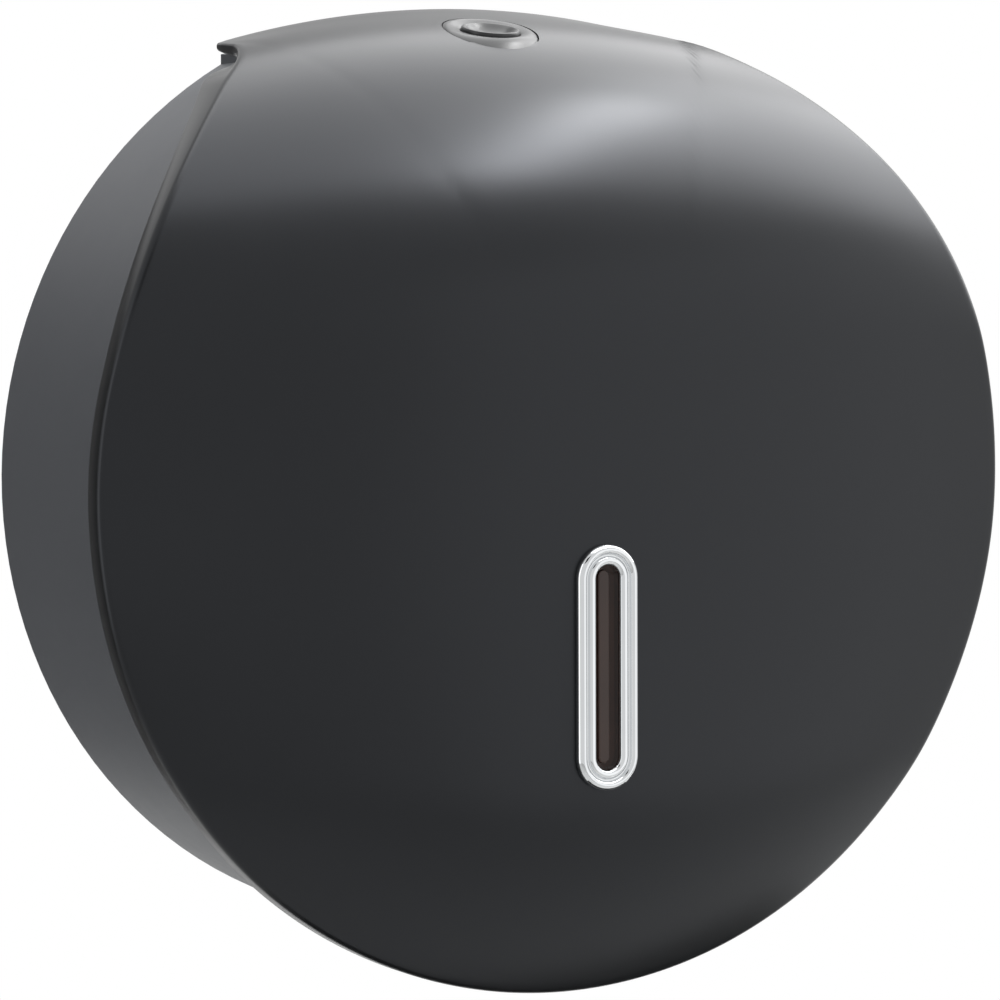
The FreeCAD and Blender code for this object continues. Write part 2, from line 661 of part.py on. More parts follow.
def make_ribs():
    """A ring and four crossing ribs that stiffen the back plate."""
    ring = cut("rib_ring", cylinder("rib_ring_outer", "rib_ring_radius", POST_SEAT, tilt="90"),
               cylinder("rib_ring_inner", "rib_ring_radius - rib_width", "front_depth", tilt="90"))
    ribs = [ring]
    for angle in range(0, 180, 45):
        rib = box("rib_%d" % angle, ("2 * rib_ring_radius", "rib_width", POST_SEAT), ("0", "0", "0"), "90")
        spin = FreeCAD.Rotation(FreeCAD.Vector(0, -1, 0), angle)
        rib.Placement = FreeCAD.Placement(FreeCAD.Vector(0, 0, 0), spin.multiply(rib.Placement.Rotation))
        centre = {"x": "-rib_ring_radius * cos(%d) + rib_width / 2 * sin(%d)" % (angle, angle),
                  "z": "-rib_ring_radius * sin(%d) - rib_width / 2 * cos(%d)" % (angle, angle)}
        rib.setExpression("Placement.Rotation.Angle", None)
        for axis, text in centre.items():
            rib.setExpression("Placement.Base." + axis, bound(text))
        ribs.append(rib)
    return ribs


def hinge_relief(name, side):
    """Room beside the mouth for the edge of the cover as it swings past under the hinge's ear."""
    start = from_side(side, "(mouth_half_width - overrun)", "(mouth_half_width + hinge_relief_width)")
    width = "hinge_relief_width + overrun"
    swept = cross_cylinder("relief_sweep_" + name, "hinge_relief_radius", start, width, "hinge_depth",
                           "hinge_height")
    low = box("relief_low_" + name, (width, "2 * hinge_relief_radius", "hinge_relief_radius"),
              (start, "-(hinge_depth + hinge_relief_radius)", "hinge_height - hinge_relief_radius"))
    ear = cross_cylinder("relief_ear_" + name, "hinge_ear_radius", start, width, "hinge_depth",
                         "hinge_height")
    return cut("relief_" + name, common("relief_half_" + name, swept, low), ear)


def make_rear_housing():
    """Drum, back plate, platform and mouth, with the ribs, pads, ears and bosses of its fittings."""
    outer = casing("casing_outer", "0", "0", "mouth_half_width")
    inner = casing("casing_inner", "drum_wall", "back_thickness", "mouth_half_width")
    fittings = make_ribs()
    fittings.append(cylinder("post_boss", "axle_flange_radius", POST_SEAT, tilt="90"))
    fittings.append(strike_box("strike_boss", "strike_inner_x - strike_boss_margin", STRIKE_TOP, STRIKE_BACK,
                               ("strike_width + 2 * strike_boss_margin", "lock_depth", "strike_boss_height")))
    for name, side in SIDES:
        fittings.append(cross_cylinder("ear_" + name, "hinge_ear_radius",
                                       from_side(side, "hinge_ear_inner", "hinge_ear_outer"),
                                       "hinge_ear_outer - hinge_ear_inner", "hinge_depth", "hinge_height"))
        fittings.append(box("ledge_" + name, ("hinge_ear_outer - tear_ledge_inner", "tear_strip_length",
                                              "tear_ledge_thickness"),
                            (from_side(side, "tear_ledge_inner", "hinge_ear_outer"),
                             "-(mouth_lip + tear_end_gap + tear_strip_length)", "tear_strip_height")))
    for x_sign, z_sign in SCREW_SIGNS:
        fittings.append(cylinder("wall_pad", "wall_pad_radius", "wall_pad_depth",
                                 ("%d * wall_screw_pitch_x / 2" % x_sign, "0",
                                  "%d * wall_screw_pitch_z / 2" % z_sign), "90"))
    inside = common("fittings_inside", fuse("fittings", fittings), outer)
    mouth = box("mouth", ("2 * mouth_half_width", "front_depth", "cover_radius"),
                ("-mouth_half_width", "-(mouth_lip + front_depth)", "mouth_height - cover_radius"))
    shell = cut("casing_open", cut("casing_shell", outer, inner), mouth)
    rough = fuse("housing_rough", [shell, inside])
    far_front = crowned_layer("far_front", "-cover_radius", "-sheet_block_depth / 2")
    rim_cut = crowned_layer("rim_cut", "-sheet_block_depth", "cover_wall + rim_gap")
    body = cut("housing_trimmed", cut("housing_shorter", rough, far_front), rim_cut)
    cutters = [lock_cylinder("lock_room", "lock_boss_radius + rim_gap", "-2 * lock_sleeve_length",
                             "lock_recess_radius")]
    for x_sign, z_sign in SCREW_SIGNS:
        cutters.append(cylinder("wall_hole", "wall_screw_radius", "wall_pad_depth + 2 * overrun",
                                ("%d * wall_screw_pitch_x / 2" % x_sign, "overrun",
                                 "%d * wall_screw_pitch_z / 2" % z_sign), "90"))
    post_hole_end = POST_SEAT + " - post_screw_length + axle_flange_thickness"
    cutters += post_cylinders("post_hole", "post_screw_radius", post_hole_end, "front_depth")
    cutters.append(cross_cylinder("ear_bores", "hinge_pin_radius", "-(hinge_ear_inner + hinge_pin_seat)",
                                  "2 * (hinge_ear_inner + hinge_pin_seat)", "hinge_depth", "hinge_height"))
    cutters += [hinge_relief(name, side) for name, side in SIDES]
    cutters += strike_cylinders("strike_hole", "strike_screw_radius", STRIKE_TOP + " - overrun",
                                STRIKE_TOP + " - strike_thickness + strike_screw_length")
    cutters += tear_cylinders("tear_hole", "tear_screw_radius", "tear_strip_height - overrun",
                              "tear_strip_height + tear_ledge_thickness + overrun")
    cutters += bumper_cylinders("bumper_seat", "bumper_radius", BUMPER_TOP + " - bumper_height",
                                "lock_recess_depth")
    housing = cut("housing_solid", body, fuse("housing_cutters", cutters))
    return finish("rear_housing", housing)


make_rear_housing()
finish("cover_bumpers", fuse("bumper_solids", bumper_cylinders("bumper", "bumper_radius - fit_gap",
                                                               BUMPER_TOP + " - bumper_height", BUMPER_TOP)))


# The roll's spindle.
FLANGE_FACE = "(%s + axle_flange_thickness)" % POST_SEAT
HUB_BACK = "(%s + hub_end_gap)" % FLANGE_FACE
HUB_FRONT = "(axle_end_depth - hub_end_gap)"


def make_spindle_post():
    """The axle on its round flange, with a blind hole for the screw that keeps the hub on."""
    bore = "spindle_screw_radius"
    blind = "axle_end_depth - spindle_screw_length"
    post = turned("post", [("0", POST_SEAT), ("axle_flange_radius", POST_SEAT),
                           ("axle_flange_radius", FLANGE_FACE), ("axle_radius", FLANGE_FACE),
                           ("axle_radius", "axle_end_depth"), (bore, "axle_end_depth"),
                           (bore, blind), ("0", blind)])
    beyond = FLANGE_FACE + " + overrun"
    holes = post_cylinders("post_clear", "post_screw_radius", POST_SEAT + " - overrun", beyond)
    holes += post_cylinders("post_head_room", "post_screw_head_radius + fit_gap",
                            FLANGE_FACE + " - post_screw_head_height", beyond)
    return finish("spindle_post", cut("post_solid", post, fuse("post_flange_holes", holes)))


def make_post_screws():
    """Three screws whose heads sit flush in the post's flange."""
    under_head = FLANGE_FACE + " - post_screw_head_height"
    head = post_cylinders("post_screw_head", "post_screw_head_radius", under_head, FLANGE_FACE)
    shank = post_cylinders("post_screw_shank", "post_screw_radius", FLANGE_FACE + " - post_screw_length",
                           under_head)
    return finish("spindle_post_screws", fuse("post_screw_solids", head + shank))


def make_spindle_hub():
    """Inner tube on the axle and outer tube for the roll's core, joined by webs, with a ring at the back."""
    inner = "axle_radius + running_gap"
    tubes = [("hub_outer", "hub_radius - hub_wall", "hub_radius"),
             ("hub_inner", inner, inner + " + hub_tube_wall")]
    pieces = [turned(name, [(low, HUB_BACK), (high, HUB_BACK), (high, HUB_FRONT), (low, HUB_FRONT)])
              for name, low, high in tubes]
    length = "%s - hub_web_setback - (%s)" % (HUB_FRONT, HUB_BACK)
    for index, (across, up) in enumerate((("2 * hub_radius - hub_wall", "hub_spoke_width"),
                                          ("hub_spoke_width", "2 * hub_radius - hub_wall"))):
        pieces.append(box("hub_web_%d" % index, (across, up, length),
                          ("-(%s) / 2" % across, "-(%s)" % HUB_BACK, "-(%s) / 2" % up), "90"))
    core = cylinder("hub_bore", inner, "front_depth", tilt="90")
    finish("spindle_hub", cut("hub_solid", fuse("hub_rough", pieces), core))
    ring_face = "%s + hub_flange_thickness" % HUB_BACK
    finish("spindle_flange", turned("hub_flange", [
        ("hub_radius", HUB_BACK), ("hub_flange_radius", HUB_BACK), ("hub_flange_radius", ring_face),
        ("hub_radius", ring_face)]))


def make_spindle_end():
    """Washer, screw and snap cap at the front of the spindle."""
    hole = "spindle_screw_radius + fit_gap"
    washer_face = "axle_end_depth + washer_thickness"
    finish("spindle_washer", turned("spindle_washer_body", [
        (hole, "axle_end_depth"), ("washer_radius", "axle_end_depth"), ("washer_radius", washer_face),
        (hole, washer_face)]))
    head = "axle_end_depth + washer_thickness + spindle_screw_head_height"
    tip = "axle_end_depth - spindle_screw_length"
    finish("spindle_screw", turned("spindle_screw_body", [
        ("0", tip), ("spindle_screw_radius", tip), ("spindle_screw_radius", washer_face),
        ("spindle_screw_head_radius", washer_face),
        ("spindle_screw_head_radius", washer_face + " + spindle_screw_head_height / 2"),
        ("spindle_screw_head_radius * screw_top_share", head), ("0", head)]))
    inside = head + " + hub_end_gap"
    outside = inside + " + cap_thickness"
    skirt = "hub_radius - hub_wall"
    finish("spindle_cap", turned("spindle_cap_body", [
        (skirt + " - cap_thickness", HUB_FRONT + " - cap_skirt"), (skirt, HUB_FRONT + " - cap_skirt"),
        (skirt, HUB_FRONT), ("hub_radius", HUB_FRONT), ("hub_radius", outside + " - cap_dome / 2"),
        ("hub_radius - cap_dome", outside), ("0", outside), ("0", inside),
        (skirt + " - cap_thickness", inside)]))


make_spindle_post()
make_post_screws()
make_spindle_hub()
make_spindle_end()


# Strike, tear strips and hinge pins.
def make_strike():
    """A flat strip on its boss, with a hook at the front that the turned cam lies behind."""
    low = STRIKE_TOP + " - strike_thickness"
    front = "(lock_cam_width / 2 + strike_hook_gap + strike_thickness)"
    length = "%s + %s + strike_seat_length" % (front, STRIKE_BACK)
    strip = strike_box("strike_strip", "strike_inner_x", low, "-" + front,
                       ("strike_width", length, "strike_thickness"))
    hook = strike_box("strike_hook", "strike_inner_x", low + " - strike_hook_drop", "-" + front,
                      ("strike_width", "strike_thickness", "strike_hook_drop + strike_thickness"))
    holes = strike_cylinders("strike_clear", "strike_screw_radius", low + " - overrun",
                             STRIKE_TOP + " + overrun")
    holes = fuse("strike_plate_holes", holes)
    finish("strike_plate", cut("strike_solid", fuse("strike_bent", [strip, hook]), holes))
    heads = strike_cylinders("strike_screw_head", "strike_screw_head_radius",
                             low + " - strike_screw_head_height", low)
    shanks = strike_cylinders("strike_screw_shank", "strike_screw_radius", low,
                              low + " + strike_screw_length")
    finish("strike_screws", fuse("strike_screw_solids", heads + shanks))


def make_tear_strip(name, side):
    """A flat steel strip under its ledge, with a row of teeth along its inner edge."""
    low = "tear_strip_height - tear_strip_thickness"
    start = "mouth_lip + tear_end_gap"
    teeth = int(value("tear_strip_length / tear_tooth_pitch"))

    def draw(sketch):
        inner = "%d * tear_strip_inner" % side
        tip = "%d * (tear_strip_inner - tear_tooth_depth)" % side
        outer = "%d * tear_strip_outer" % side
        corners = [(outer, "-(%s)" % start)]
        for tooth in range(teeth):
            corners.append((inner, "-(%s + tear_strip_length / %d * %d)" % (start, teeth, tooth)))
            corners.append((tip, "-(%s + tear_strip_length / %d * (%d + 1 / 2))" % (start, teeth, tooth)))
        corners.append((inner, "-(%s + tear_strip_length)" % start))
        corners.append((outer, "-(%s + tear_strip_length)" % start))
        draw_polygon(sketch, corners)

    strip = padded("tear_strip_body_" + name, "tear_strip_thickness", draw, base=("0", "0", low))
    holes = tear_cylinders("tear_clear_" + name, "tear_screw_radius", low + " - overrun",
                           "tear_strip_height + overrun")
    holes = fuse("tear_strip_holes_" + name, holes)
    finish("tear_strip_" + name, cut("tear_strip_solid_" + name, strip, holes))


def make_tear_screws():
    """Four screws that hold the tear strips to their ledges from below."""
    low = "tear_strip_height - tear_strip_thickness"
    heads = tear_cylinders("tear_screw_head", "tear_screw_head_radius",
                           low + " - tear_screw_head_height", low)
    shanks = tear_cylinders("tear_screw_shank", "tear_screw_radius", low, low + " + tear_screw_length")
    finish("tear_strip_screws", fuse("tear_screw_solids", heads + shanks))


make_strike()
for side_name, side_sign in SIDES:
    make_tear_strip(side_name, side_sign)
    seat = "hinge_ear_inner + hinge_pin_seat"
    reach = "hinge_ear_inner - hinge_side_gap - hinge_lug_width"
    finish("hinge_pin_" + side_name,
           cross_cylinder("hinge_pin_body_" + side_name, "hinge_pin_radius",
                          from_side(side_sign, reach, seat), "(%s) - (%s)" % (seat, reach),
                          "hinge_depth", "hinge_height"))
make_tear_screws()


# The top lock.
BOSS_FACE = "(-lock_boss_depth)"
NUT_TOP = "(%s - lock_washer_thickness)" % BOSS_FACE
CAM_TOP = "(%s - strike_thickness - strike_clearance)" % STRIKE_TOP


def lock_turned(name, outline):
    """A turned piece on the lock's axis: outline holds (radius, height over the recess floor)."""
    return turned(name, outline, on_lock_axis("0"), "lock_tilt")


def make_lock():
    """Sleeve, washer, nut, barrel, cam and the cam's screw."""
    bore = "lock_barrel_radius + running_gap"
    finish("lock_sleeve", lock_turned("lock_sleeve_body", [
        (bore, "-lock_sleeve_length"), ("lock_sleeve_radius", "-lock_sleeve_length"),
        ("lock_sleeve_radius", "0"), ("lock_flange_radius", "0"),
        ("lock_flange_radius", "lock_flange_height / 2"),
        ("lock_flange_radius - lock_flange_height / 2", "lock_flange_height"),
        (bore, "lock_flange_height")]))
    finish("lock_washer", lock_turned("lock_washer_body", [
        ("lock_sleeve_radius", NUT_TOP), ("lock_washer_radius", NUT_TOP), ("lock_washer_radius", BOSS_FACE),
        ("lock_sleeve_radius", BOSS_FACE)]))

    def draw_nut(sketch):
        corner = "lock_nut_flats / 2 / cos(30) * "
        draw_polygon(sketch, [(corner + "cos(%d)" % angle, corner + "sin(%d)" % angle)
                              for angle in range(0, 360, 60)])

    nut_low = "%s - lock_nut_height" % NUT_TOP
    nut = padded("lock_nut_blank", "lock_nut_height", draw_nut, on_lock_axis(nut_low), "lock_tilt")
    nut_bore = lock_cylinder("lock_nut_bore", "lock_sleeve_radius", nut_low + " - overrun",
                             NUT_TOP + " + overrun")
    finish("lock_nut", cut("lock_nut_solid", nut, nut_bore))

    half = "lock_tail_width / 2"
    top = "lock_flange_height + lock_barrel_rise"
    barrel = lock_turned("lock_barrel_turned", [
        ("0", CAM_TOP), ("lock_barrel_radius", CAM_TOP),
        ("lock_barrel_radius", top + " - lock_barrel_chamfer"),
        ("lock_barrel_radius - lock_barrel_chamfer", top), ("lock_dish_radius", top),
        ("lock_key_radius", top + " - lock_dish_depth"),
        ("lock_key_radius", "-lock_key_depth"), ("0", "-lock_key_depth")])
    tail = box("lock_tail", ("lock_tail_width", "lock_tail_width", "lock_cam_thickness"),
               ("-%s" % half,) + on_strike("%s - lock_cam_thickness" % CAM_TOP, "-" + half), "lock_tilt")
    screw_hole = lock_cylinder("lock_tail_hole", "lock_cam_screw_radius",
                               "%s - lock_cam_thickness - overrun" % CAM_TOP,
                               "%s - lock_cam_thickness + lock_cam_screw_length" % CAM_TOP)
    finish("lock_barrel", cut("lock_barrel_solid", fuse("lock_barrel_rough", [barrel, tail]), screw_hole))

    arm = box("lock_cam_arm", ("lock_cam_width", "lock_cam_length", "lock_cam_thickness"),
              ("-lock_cam_width / 2",) + on_strike("%s - lock_cam_thickness" % CAM_TOP, "0"), "lock_tilt")
    eye = lock_cylinder("lock_cam_eye", "lock_cam_width / 2", "%s - lock_cam_thickness" % CAM_TOP, CAM_TOP)
    square = box("lock_cam_square",
                 ("lock_tail_width", "lock_tail_width", "lock_cam_thickness + 2 * overrun"),
                 ("-%s" % half,) + on_strike("%s - lock_cam_thickness - overrun" % CAM_TOP, "-" + half),
                 "lock_tilt")
    finish("lock_cam", cut("lock_cam_solid", fuse("lock_cam_plate", [arm, eye]), square))
    seat = "%s - lock_cam_thickness" % CAM_TOP
    finish("lock_cam_screw", lock_turned("lock_cam_screw_body", [
        ("0", seat + " - lock_cam_screw_head_height"),
        ("lock_cam_screw_head_radius * screw_top_share", seat + " - lock_cam_screw_head_height"),
        ("lock_cam_screw_head_radius", seat + " - lock_cam_screw_head_height / 2"),
        ("lock_cam_screw_head_radius", seat),
        ("lock_cam_screw_radius", seat), ("lock_cam_screw_radius", seat + " + lock_cam_screw_length"),
        ("0", seat + " + lock_cam_screw_length")]))


make_lock()


# The sight window.
def make_window():
    """Bezel with its neck through the cover, the lens in its back, and the ring that holds both."""
    neck_back = "(front_depth - bezel_neck_length)"
    half, long = "bezel_half_width", "bezel_half_length"
    plate = slot_plate("bezel_plate", half, long, "front_depth", "front_depth + bezel_rise")
    neck = slot_plate("bezel_neck", half + " - bezel_neck_inset", long + " - bezel_neck_inset", neck_back,
                      "front_depth + overrun")
    rough = fuse("bezel_rough", [plate, neck])
    doc.recompute()
    rounded = doc.addObject("Part::Fillet", "bezel_rounded")
    rounded.Base = rough
    front = -value("front_depth + bezel_rise")
    slack = value("fit_gap")
    edges = [index for index, edge in enumerate(rough.Shape.Edges, start=1)
             if abs(edge.BoundBox.YMin - front) < slack and abs(edge.BoundBox.YMax - front) < slack]
    rounded.Edges = [(index, value("bezel_round"), value("bezel_round")) for index in edges]
    groove_out = slot_plate("bezel_groove_out", half + " - bezel_groove_offset",
                            long + " - bezel_groove_offset", "front_depth + bezel_rise - bezel_groove_depth",
                            "front_depth + bezel_rise + overrun")
    groove_in = slot_plate("bezel_groove_in", half + " - bezel_groove_offset - bezel_groove_width",
                           long + " - bezel_groove_offset - bezel_groove_width", "front_depth",
                           "front_depth + bezel_rise + 2 * overrun")
    opening = slot_plate("bezel_opening", "bezel_inner_half_width", "bezel_inner_half_length",
                         neck_back + " - overrun", "front_depth + bezel_rise + overrun")
    seat = slot_plate("bezel_lens_seat", "bezel_inner_half_width + lens_margin",
                      "bezel_inner_half_length + lens_margin", neck_back + " - overrun",
                      neck_back + " + lens_seat_depth")
    cutters = fuse("bezel_cutters", [cut("bezel_groove", groove_out, groove_in), opening, seat])
    finish("window_bezel", cut("bezel_solid", rounded, cutters))
    lens_front = neck_back + " + lens_seat_depth"
    lens_edge = "lens_margin - lens_fit_gap"
    lens = slot_plate("lens_plate", "bezel_inner_half_width + " + lens_edge,
                      "bezel_inner_half_length + " + lens_edge, lens_front + " - lens_thickness", lens_front)
    strip = slot_plate("lens_strip", "lens_strip_half_width",
                       "bezel_inner_half_length - lens_strip_half_width",
                       lens_front + " - lens_thickness / 2", lens_front + " + lens_strip_rise")
    finish("window_lens", fuse("lens_solid", [lens, strip]))
    ring_outer = slot_plate("retainer_outer", half, long, "front_depth - cover_wall - retainer_thickness",
                            "front_depth - cover_wall")
    ring_inner = slot_plate("retainer_inner", half + " - bezel_neck_inset", long + " - bezel_neck_inset",
                            "front_depth - cover_wall - 2 * retainer_thickness", "front_depth")
    finish("window_retainer", cut("retainer_solid", ring_outer, ring_inner))


make_window()
doc.recompute()

failed = [item.Name for item in doc.Objects if {"Invalid", "Error"} & set(item.State)]
if failed:
    raise RuntimeError("failed objects: " + ", ".join(failed))
for piece in PARTS:
    if piece.Shape.isNull() or not piece.Shape.isValid() or piece.Shape.Volume <= 0:
        raise RuntimeError("bad shape: " + piece.Label)
os.makedirs("parts", exist_ok=True)
for piece in PARTS:
    piece.Shape.exportStep("parts/" + piece.Label + ".step")
    print(piece.Label, len(piece.Shape.Solids), "solids", round(piece.Shape.Volume), "mm3")
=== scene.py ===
"""Looks of a wall-hung jumbo toilet roll dispenser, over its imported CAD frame."""
import logging
import math
from collections.abc import Callable
from dataclasses import dataclass
from enum import Enum

import bmesh
import bpy
from bmesh.types import BMEdge, BMesh, BMVert
from bpy.types import Material, Node, NodeSocket, NodeTree, Object
from mathutils import Matrix, Vector


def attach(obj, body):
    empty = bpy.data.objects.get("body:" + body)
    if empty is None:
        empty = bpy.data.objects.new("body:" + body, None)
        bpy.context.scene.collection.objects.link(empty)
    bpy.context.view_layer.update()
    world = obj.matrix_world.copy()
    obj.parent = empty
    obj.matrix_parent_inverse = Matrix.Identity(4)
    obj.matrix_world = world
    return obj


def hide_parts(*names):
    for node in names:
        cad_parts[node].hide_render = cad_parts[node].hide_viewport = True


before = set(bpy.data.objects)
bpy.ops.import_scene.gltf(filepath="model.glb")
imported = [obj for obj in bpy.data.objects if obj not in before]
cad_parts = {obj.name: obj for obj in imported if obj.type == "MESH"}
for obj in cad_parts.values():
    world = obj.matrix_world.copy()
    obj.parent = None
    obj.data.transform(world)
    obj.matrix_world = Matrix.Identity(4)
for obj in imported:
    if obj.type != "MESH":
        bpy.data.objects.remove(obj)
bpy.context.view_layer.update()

log = logging.getLogger("dispenser")
Pair = tuple[float, float]
Triple = tuple[float, float, float]
Colour = tuple[float, float, float, float]

MM = 0.001
SMOOTH_DEG = 32.0  # edges sharper than this stay sharp on most pieces
SHELL_SMOOTH_DEG = 40.0  # the same on the cover's shell
BEZEL_SMOOTH_DEG = 50.0  # the same on the bezel
LEAST_ROUGHNESS = 0.02
TOUCH = 1e-7  # metres, within which coordinates count as the same
WELD, SHELL_WELD = 1e-6, 2e-6  # metres, within which corners are welded
HALVINGS = 26  # of a span, to find an edge point
LAYER_HALVINGS = 30  # of the middle line, to find a point under the face
EDGE_REACH = 320.0  # millimetres from the sheet's centre, beyond every edge point
LAYER_START = -20.0  # millimetres along the middle line, behind the visor's back
TIP_SEARCH = (40.0, 100.0)  # millimetres to the side, between which the visor's tips lie
RIDGE_LOOPS = 5  # loops over the cover's rounded ridge
INNER_LOOP = 12  # the loop at the inner face's border
ROUND_LOOP = 9  # the last loop round the visor's bare edge
WINDOW_HEIGHT = -46.5  # millimetres, of the window's middle

# Where the cover's crown is set: shares of the shoulder's and the front's run, degrees of the chin.
SHOULDER_STATIONS = (0.0, 0.22, 0.45, 0.67, 0.85, 1.0)
FRONT_STATIONS = (0.25, 0.5, 0.75, 1.0)
CHIN_STATIONS_DEG = (15, 30, 45)
# The crown's radius at the visor's back, at those stations and at the end, in radii of 136 mm.
CROWN_UNIT = 136
CROWNS = (1.90, 2.65, 2.98, 3.08, 3.03, 3.06, 3.20, 3.33, 3.32, 2.98, 2.50, 2.03, 1.79, 1.70, 1.66)

# Radius and height of each corner of the turned pieces, in millimetres over the lock's recess floor.
BOSS_OUTLINE = [(10.1, -5), (15.4, -5), (15.8, -4.8), (16, -4.4), (16, -0.8), (10.1, -0.8), (10.1, -5)]
RING_OUTLINE = [
    (8.1, -11.5), (9.7, -11.5), (10.0, -11.2), (10.0, 0.0), (12.9, 0.0), (13.05, 0.06), (13.0, 0.16),
    (12.7, 0.36), (12.2, 0.62), (11.6, 0.85), (10.9, 1.05), (10.0, 1.22), (9.2, 1.3), (8.7, 1.3),
    (8.4, 1.2), (8.2, 1.0), (8.1, 0.7), (8.1, -11.5)]
BARREL_OUTLINE = [
    (0, -14.3), (7.8, -14.3), (8.0, -14.1), (8.0, 1.6), (7.95, 1.95), (7.75, 2.2), (7.45, 2.3),
    (7.1, 2.26), (6.8, 2.1), (6.2, 1.6), (5.2, 0.95), (4.2, 0.5), (3.6, 0.32), (3.42, 0.15),
    (3.4, -0.2), (3.4, -9.0), (1.1, -9.0), (1.1, -0.9), (0.95, -0.7), (0, -0.7)]


class Body(str, Enum):
    """The record's bodies that the pieces made here ride on."""

    COVER = "cover"
    LOCK = "lock"


def linear(colour: str) -> Colour:
    """Turn an sRGB hex colour into linear values.

    Args:
        colour: Six hex digits.

    Returns:
        Linear red, green and blue, and an alpha of 1.
    """
    shares = [int(colour[place:place + 2], 16) / 255 for place in (0, 2, 4)]
    # The sRGB standard's own curve: a straight foot, then a power.
    red, green, blue = [share / 12.92 if share <= 0.04045 else ((share + 0.055) / 1.055) ** 2.4
                        for share in shares]
    return red, green, blue, 1.0


def add_node(tree: NodeTree, kind: str, settings: dict | None = None,
             links: dict | None = None) -> Node:
    """Add a node with its settings and links.

    Args:
        tree: The node tree.
        kind: The node's type name.
        settings: Values by attribute name, or else by input name.
        links: Output sockets by the input name that they feed.

    Returns:
        The new node.
    """
    made = tree.nodes.new(kind)
    for name, setting in (settings or {}).items():
        if hasattr(made, name):
            setattr(made, name, setting)
        else:
            made.inputs[name].default_value = setting
    for name, source in (links or {}).items():
        tree.links.new(source, made.inputs[name])
    return made


@dataclass(frozen=True)
class Finish:
    """A finish: the shader's own values, and how fine its mottling and its relief are.

    The colour mottles towards the second one, and the roughness by the spread to both sides. Relief is
    the grain's height in millimetres, and sheen tints the gloss, a painted colour of the room's light.
    """

    name: str
    colour: str
    second: str
    roughness: float
    metallic: float = 0.0
    ior: float = 1.49
    mottle_mm: float = 6.0
    relief_mm: float = 1.0
    relief: float = 0.02
    spread: float = 0.04
    sheen: str = "ffffff"

    def material(self) -> Material:
        """Make the material with its colour, roughness and relief patterns.

        Returns:
            The material, ready for a piece's slot.
        """
        made = bpy.data.materials.new(self.name)
        made.use_nodes = True
        tree = made.node_tree
        tree.nodes.clear()
        place = add_node(tree, "ShaderNodeTexCoord")
        mottle, grain = [
            add_node(tree, "ShaderNodeTexNoise", {"Scale": 1000 / size_mm, "Detail": detail},
                     {"Vector": place.outputs["Object"]})
            for size_mm, detail in ((self.mottle_mm, 4.0), (self.relief_mm, 3.0))]
        blend = add_node(tree, "ShaderNodeMix", {"data_type": "RGBA"},
                         {"Factor": mottle.outputs["Fac"]})
        colours = [socket for socket in blend.inputs if socket.type == "RGBA"]
        colours[0].default_value = linear(self.colour)
        colours[1].default_value = linear(self.second)
        result = [socket for socket in blend.outputs if socket.type == "RGBA"][0]
        wear = add_node(tree, "ShaderNodeMapRange",
                        {"To Min": max(self.roughness - self.spread, LEAST_ROUGHNESS),
                         "To Max": self.roughness + self.spread},
                        {"Value": mottle.outputs["Fac"]})
        bump = add_node(tree, "ShaderNodeBump", {"Distance": self.relief * MM},
                        {"Height": grain.outputs["Fac"]})
        shader = add_node(tree, "ShaderNodeBsdfPrincipled",
                          {"Metallic": self.metallic, "IOR": self.ior,
                           "Specular Tint": linear(self.sheen)},
                          {"Base Color": result, "Roughness": wear.outputs["Result"],
                           "Normal": bump.outputs["Normal"]})
        add_node(tree, "ShaderNodeOutputMaterial", {}, {"Surface": shader.outputs["BSDF"]})
        return made


# Satin ABS, injection moulded: near black, a soft sheen over a very fine grain.
# Its gloss is tinted slightly blue: a painted tint of the room's light in its reflections.
COVER_ABS = Finish("satin_black_abs", "0f1011", "131415", 0.29, ior=1.38, mottle_mm=40.0,
                   relief_mm=0.9, relief=0.003, spread=0.03, sheen="eef2fb")
# The same plastic on the housing: mid grey, with a fine texture that dulls its sheen.
HOUSING_ABS = Finish("textured_abs", "494b4f", "4f5155", 0.45, ior=1.38, mottle_mm=9.0,
                     relief_mm=1.2, relief=0.006)
# Acetal, moulded: mid grey and waxy.
ACETAL = Finish("acetal", "6a6b6c", "737475", 0.42, ior=1.48, mottle_mm=20.0, relief=0.008)
# Chrome plate over brass: bright, with hardly a ripple.
CHROME = Finish("chrome_plate", "c6c8ca", "cfd1d2", 0.04, metallic=1.0, ior=1.5, mottle_mm=12.0,
                relief_mm=6.0, relief=0.004, spread=0.02)
# Zinc casting in a dark satin lacquer, on the lock: the cover's tone with a closer sheen.
LACQUER = Finish("dark_lacquer", "1b1c1e", "212224", 0.30, ior=1.45, mottle_mm=5.0, relief_mm=0.7,
                 relief=0.004)
# Zinc-plated steel: grey, lightly blotched.
ZINC = Finish("zinc_plate", "a9abad", "bcbdbf", 0.30, metallic=1.0, ior=1.5, mottle_mm=3.0,
              relief_mm=0.8, relief=0.004, spread=0.08)
# Smoke-tinted polycarbonate: so dark a brown that nothing shows through it, with a high polish.
SMOKE = Finish("smoke_polycarbonate", "2e1c15", "3a241a", 0.06, ior=1.40, mottle_mm=15.0,
               relief_mm=5.0, relief=0.004, spread=0.02)
# Nitrile rubber, moulded: black and matt.
RUBBER = Finish("nitrile_rubber", "101010", "161616", 0.75, ior=1.52, mottle_mm=2.0, relief_mm=0.5)


def smooth_step(share: float) -> float:
    """Ease a share from 0 to 1 with level ends.

    Args:
        share: The share, which may lie beyond both ends.

    Returns:
        The eased share, from 0 to 1.
    """
    share = min(max(share, 0.0), 1.0)
    return share * share * (3 - 2 * share)


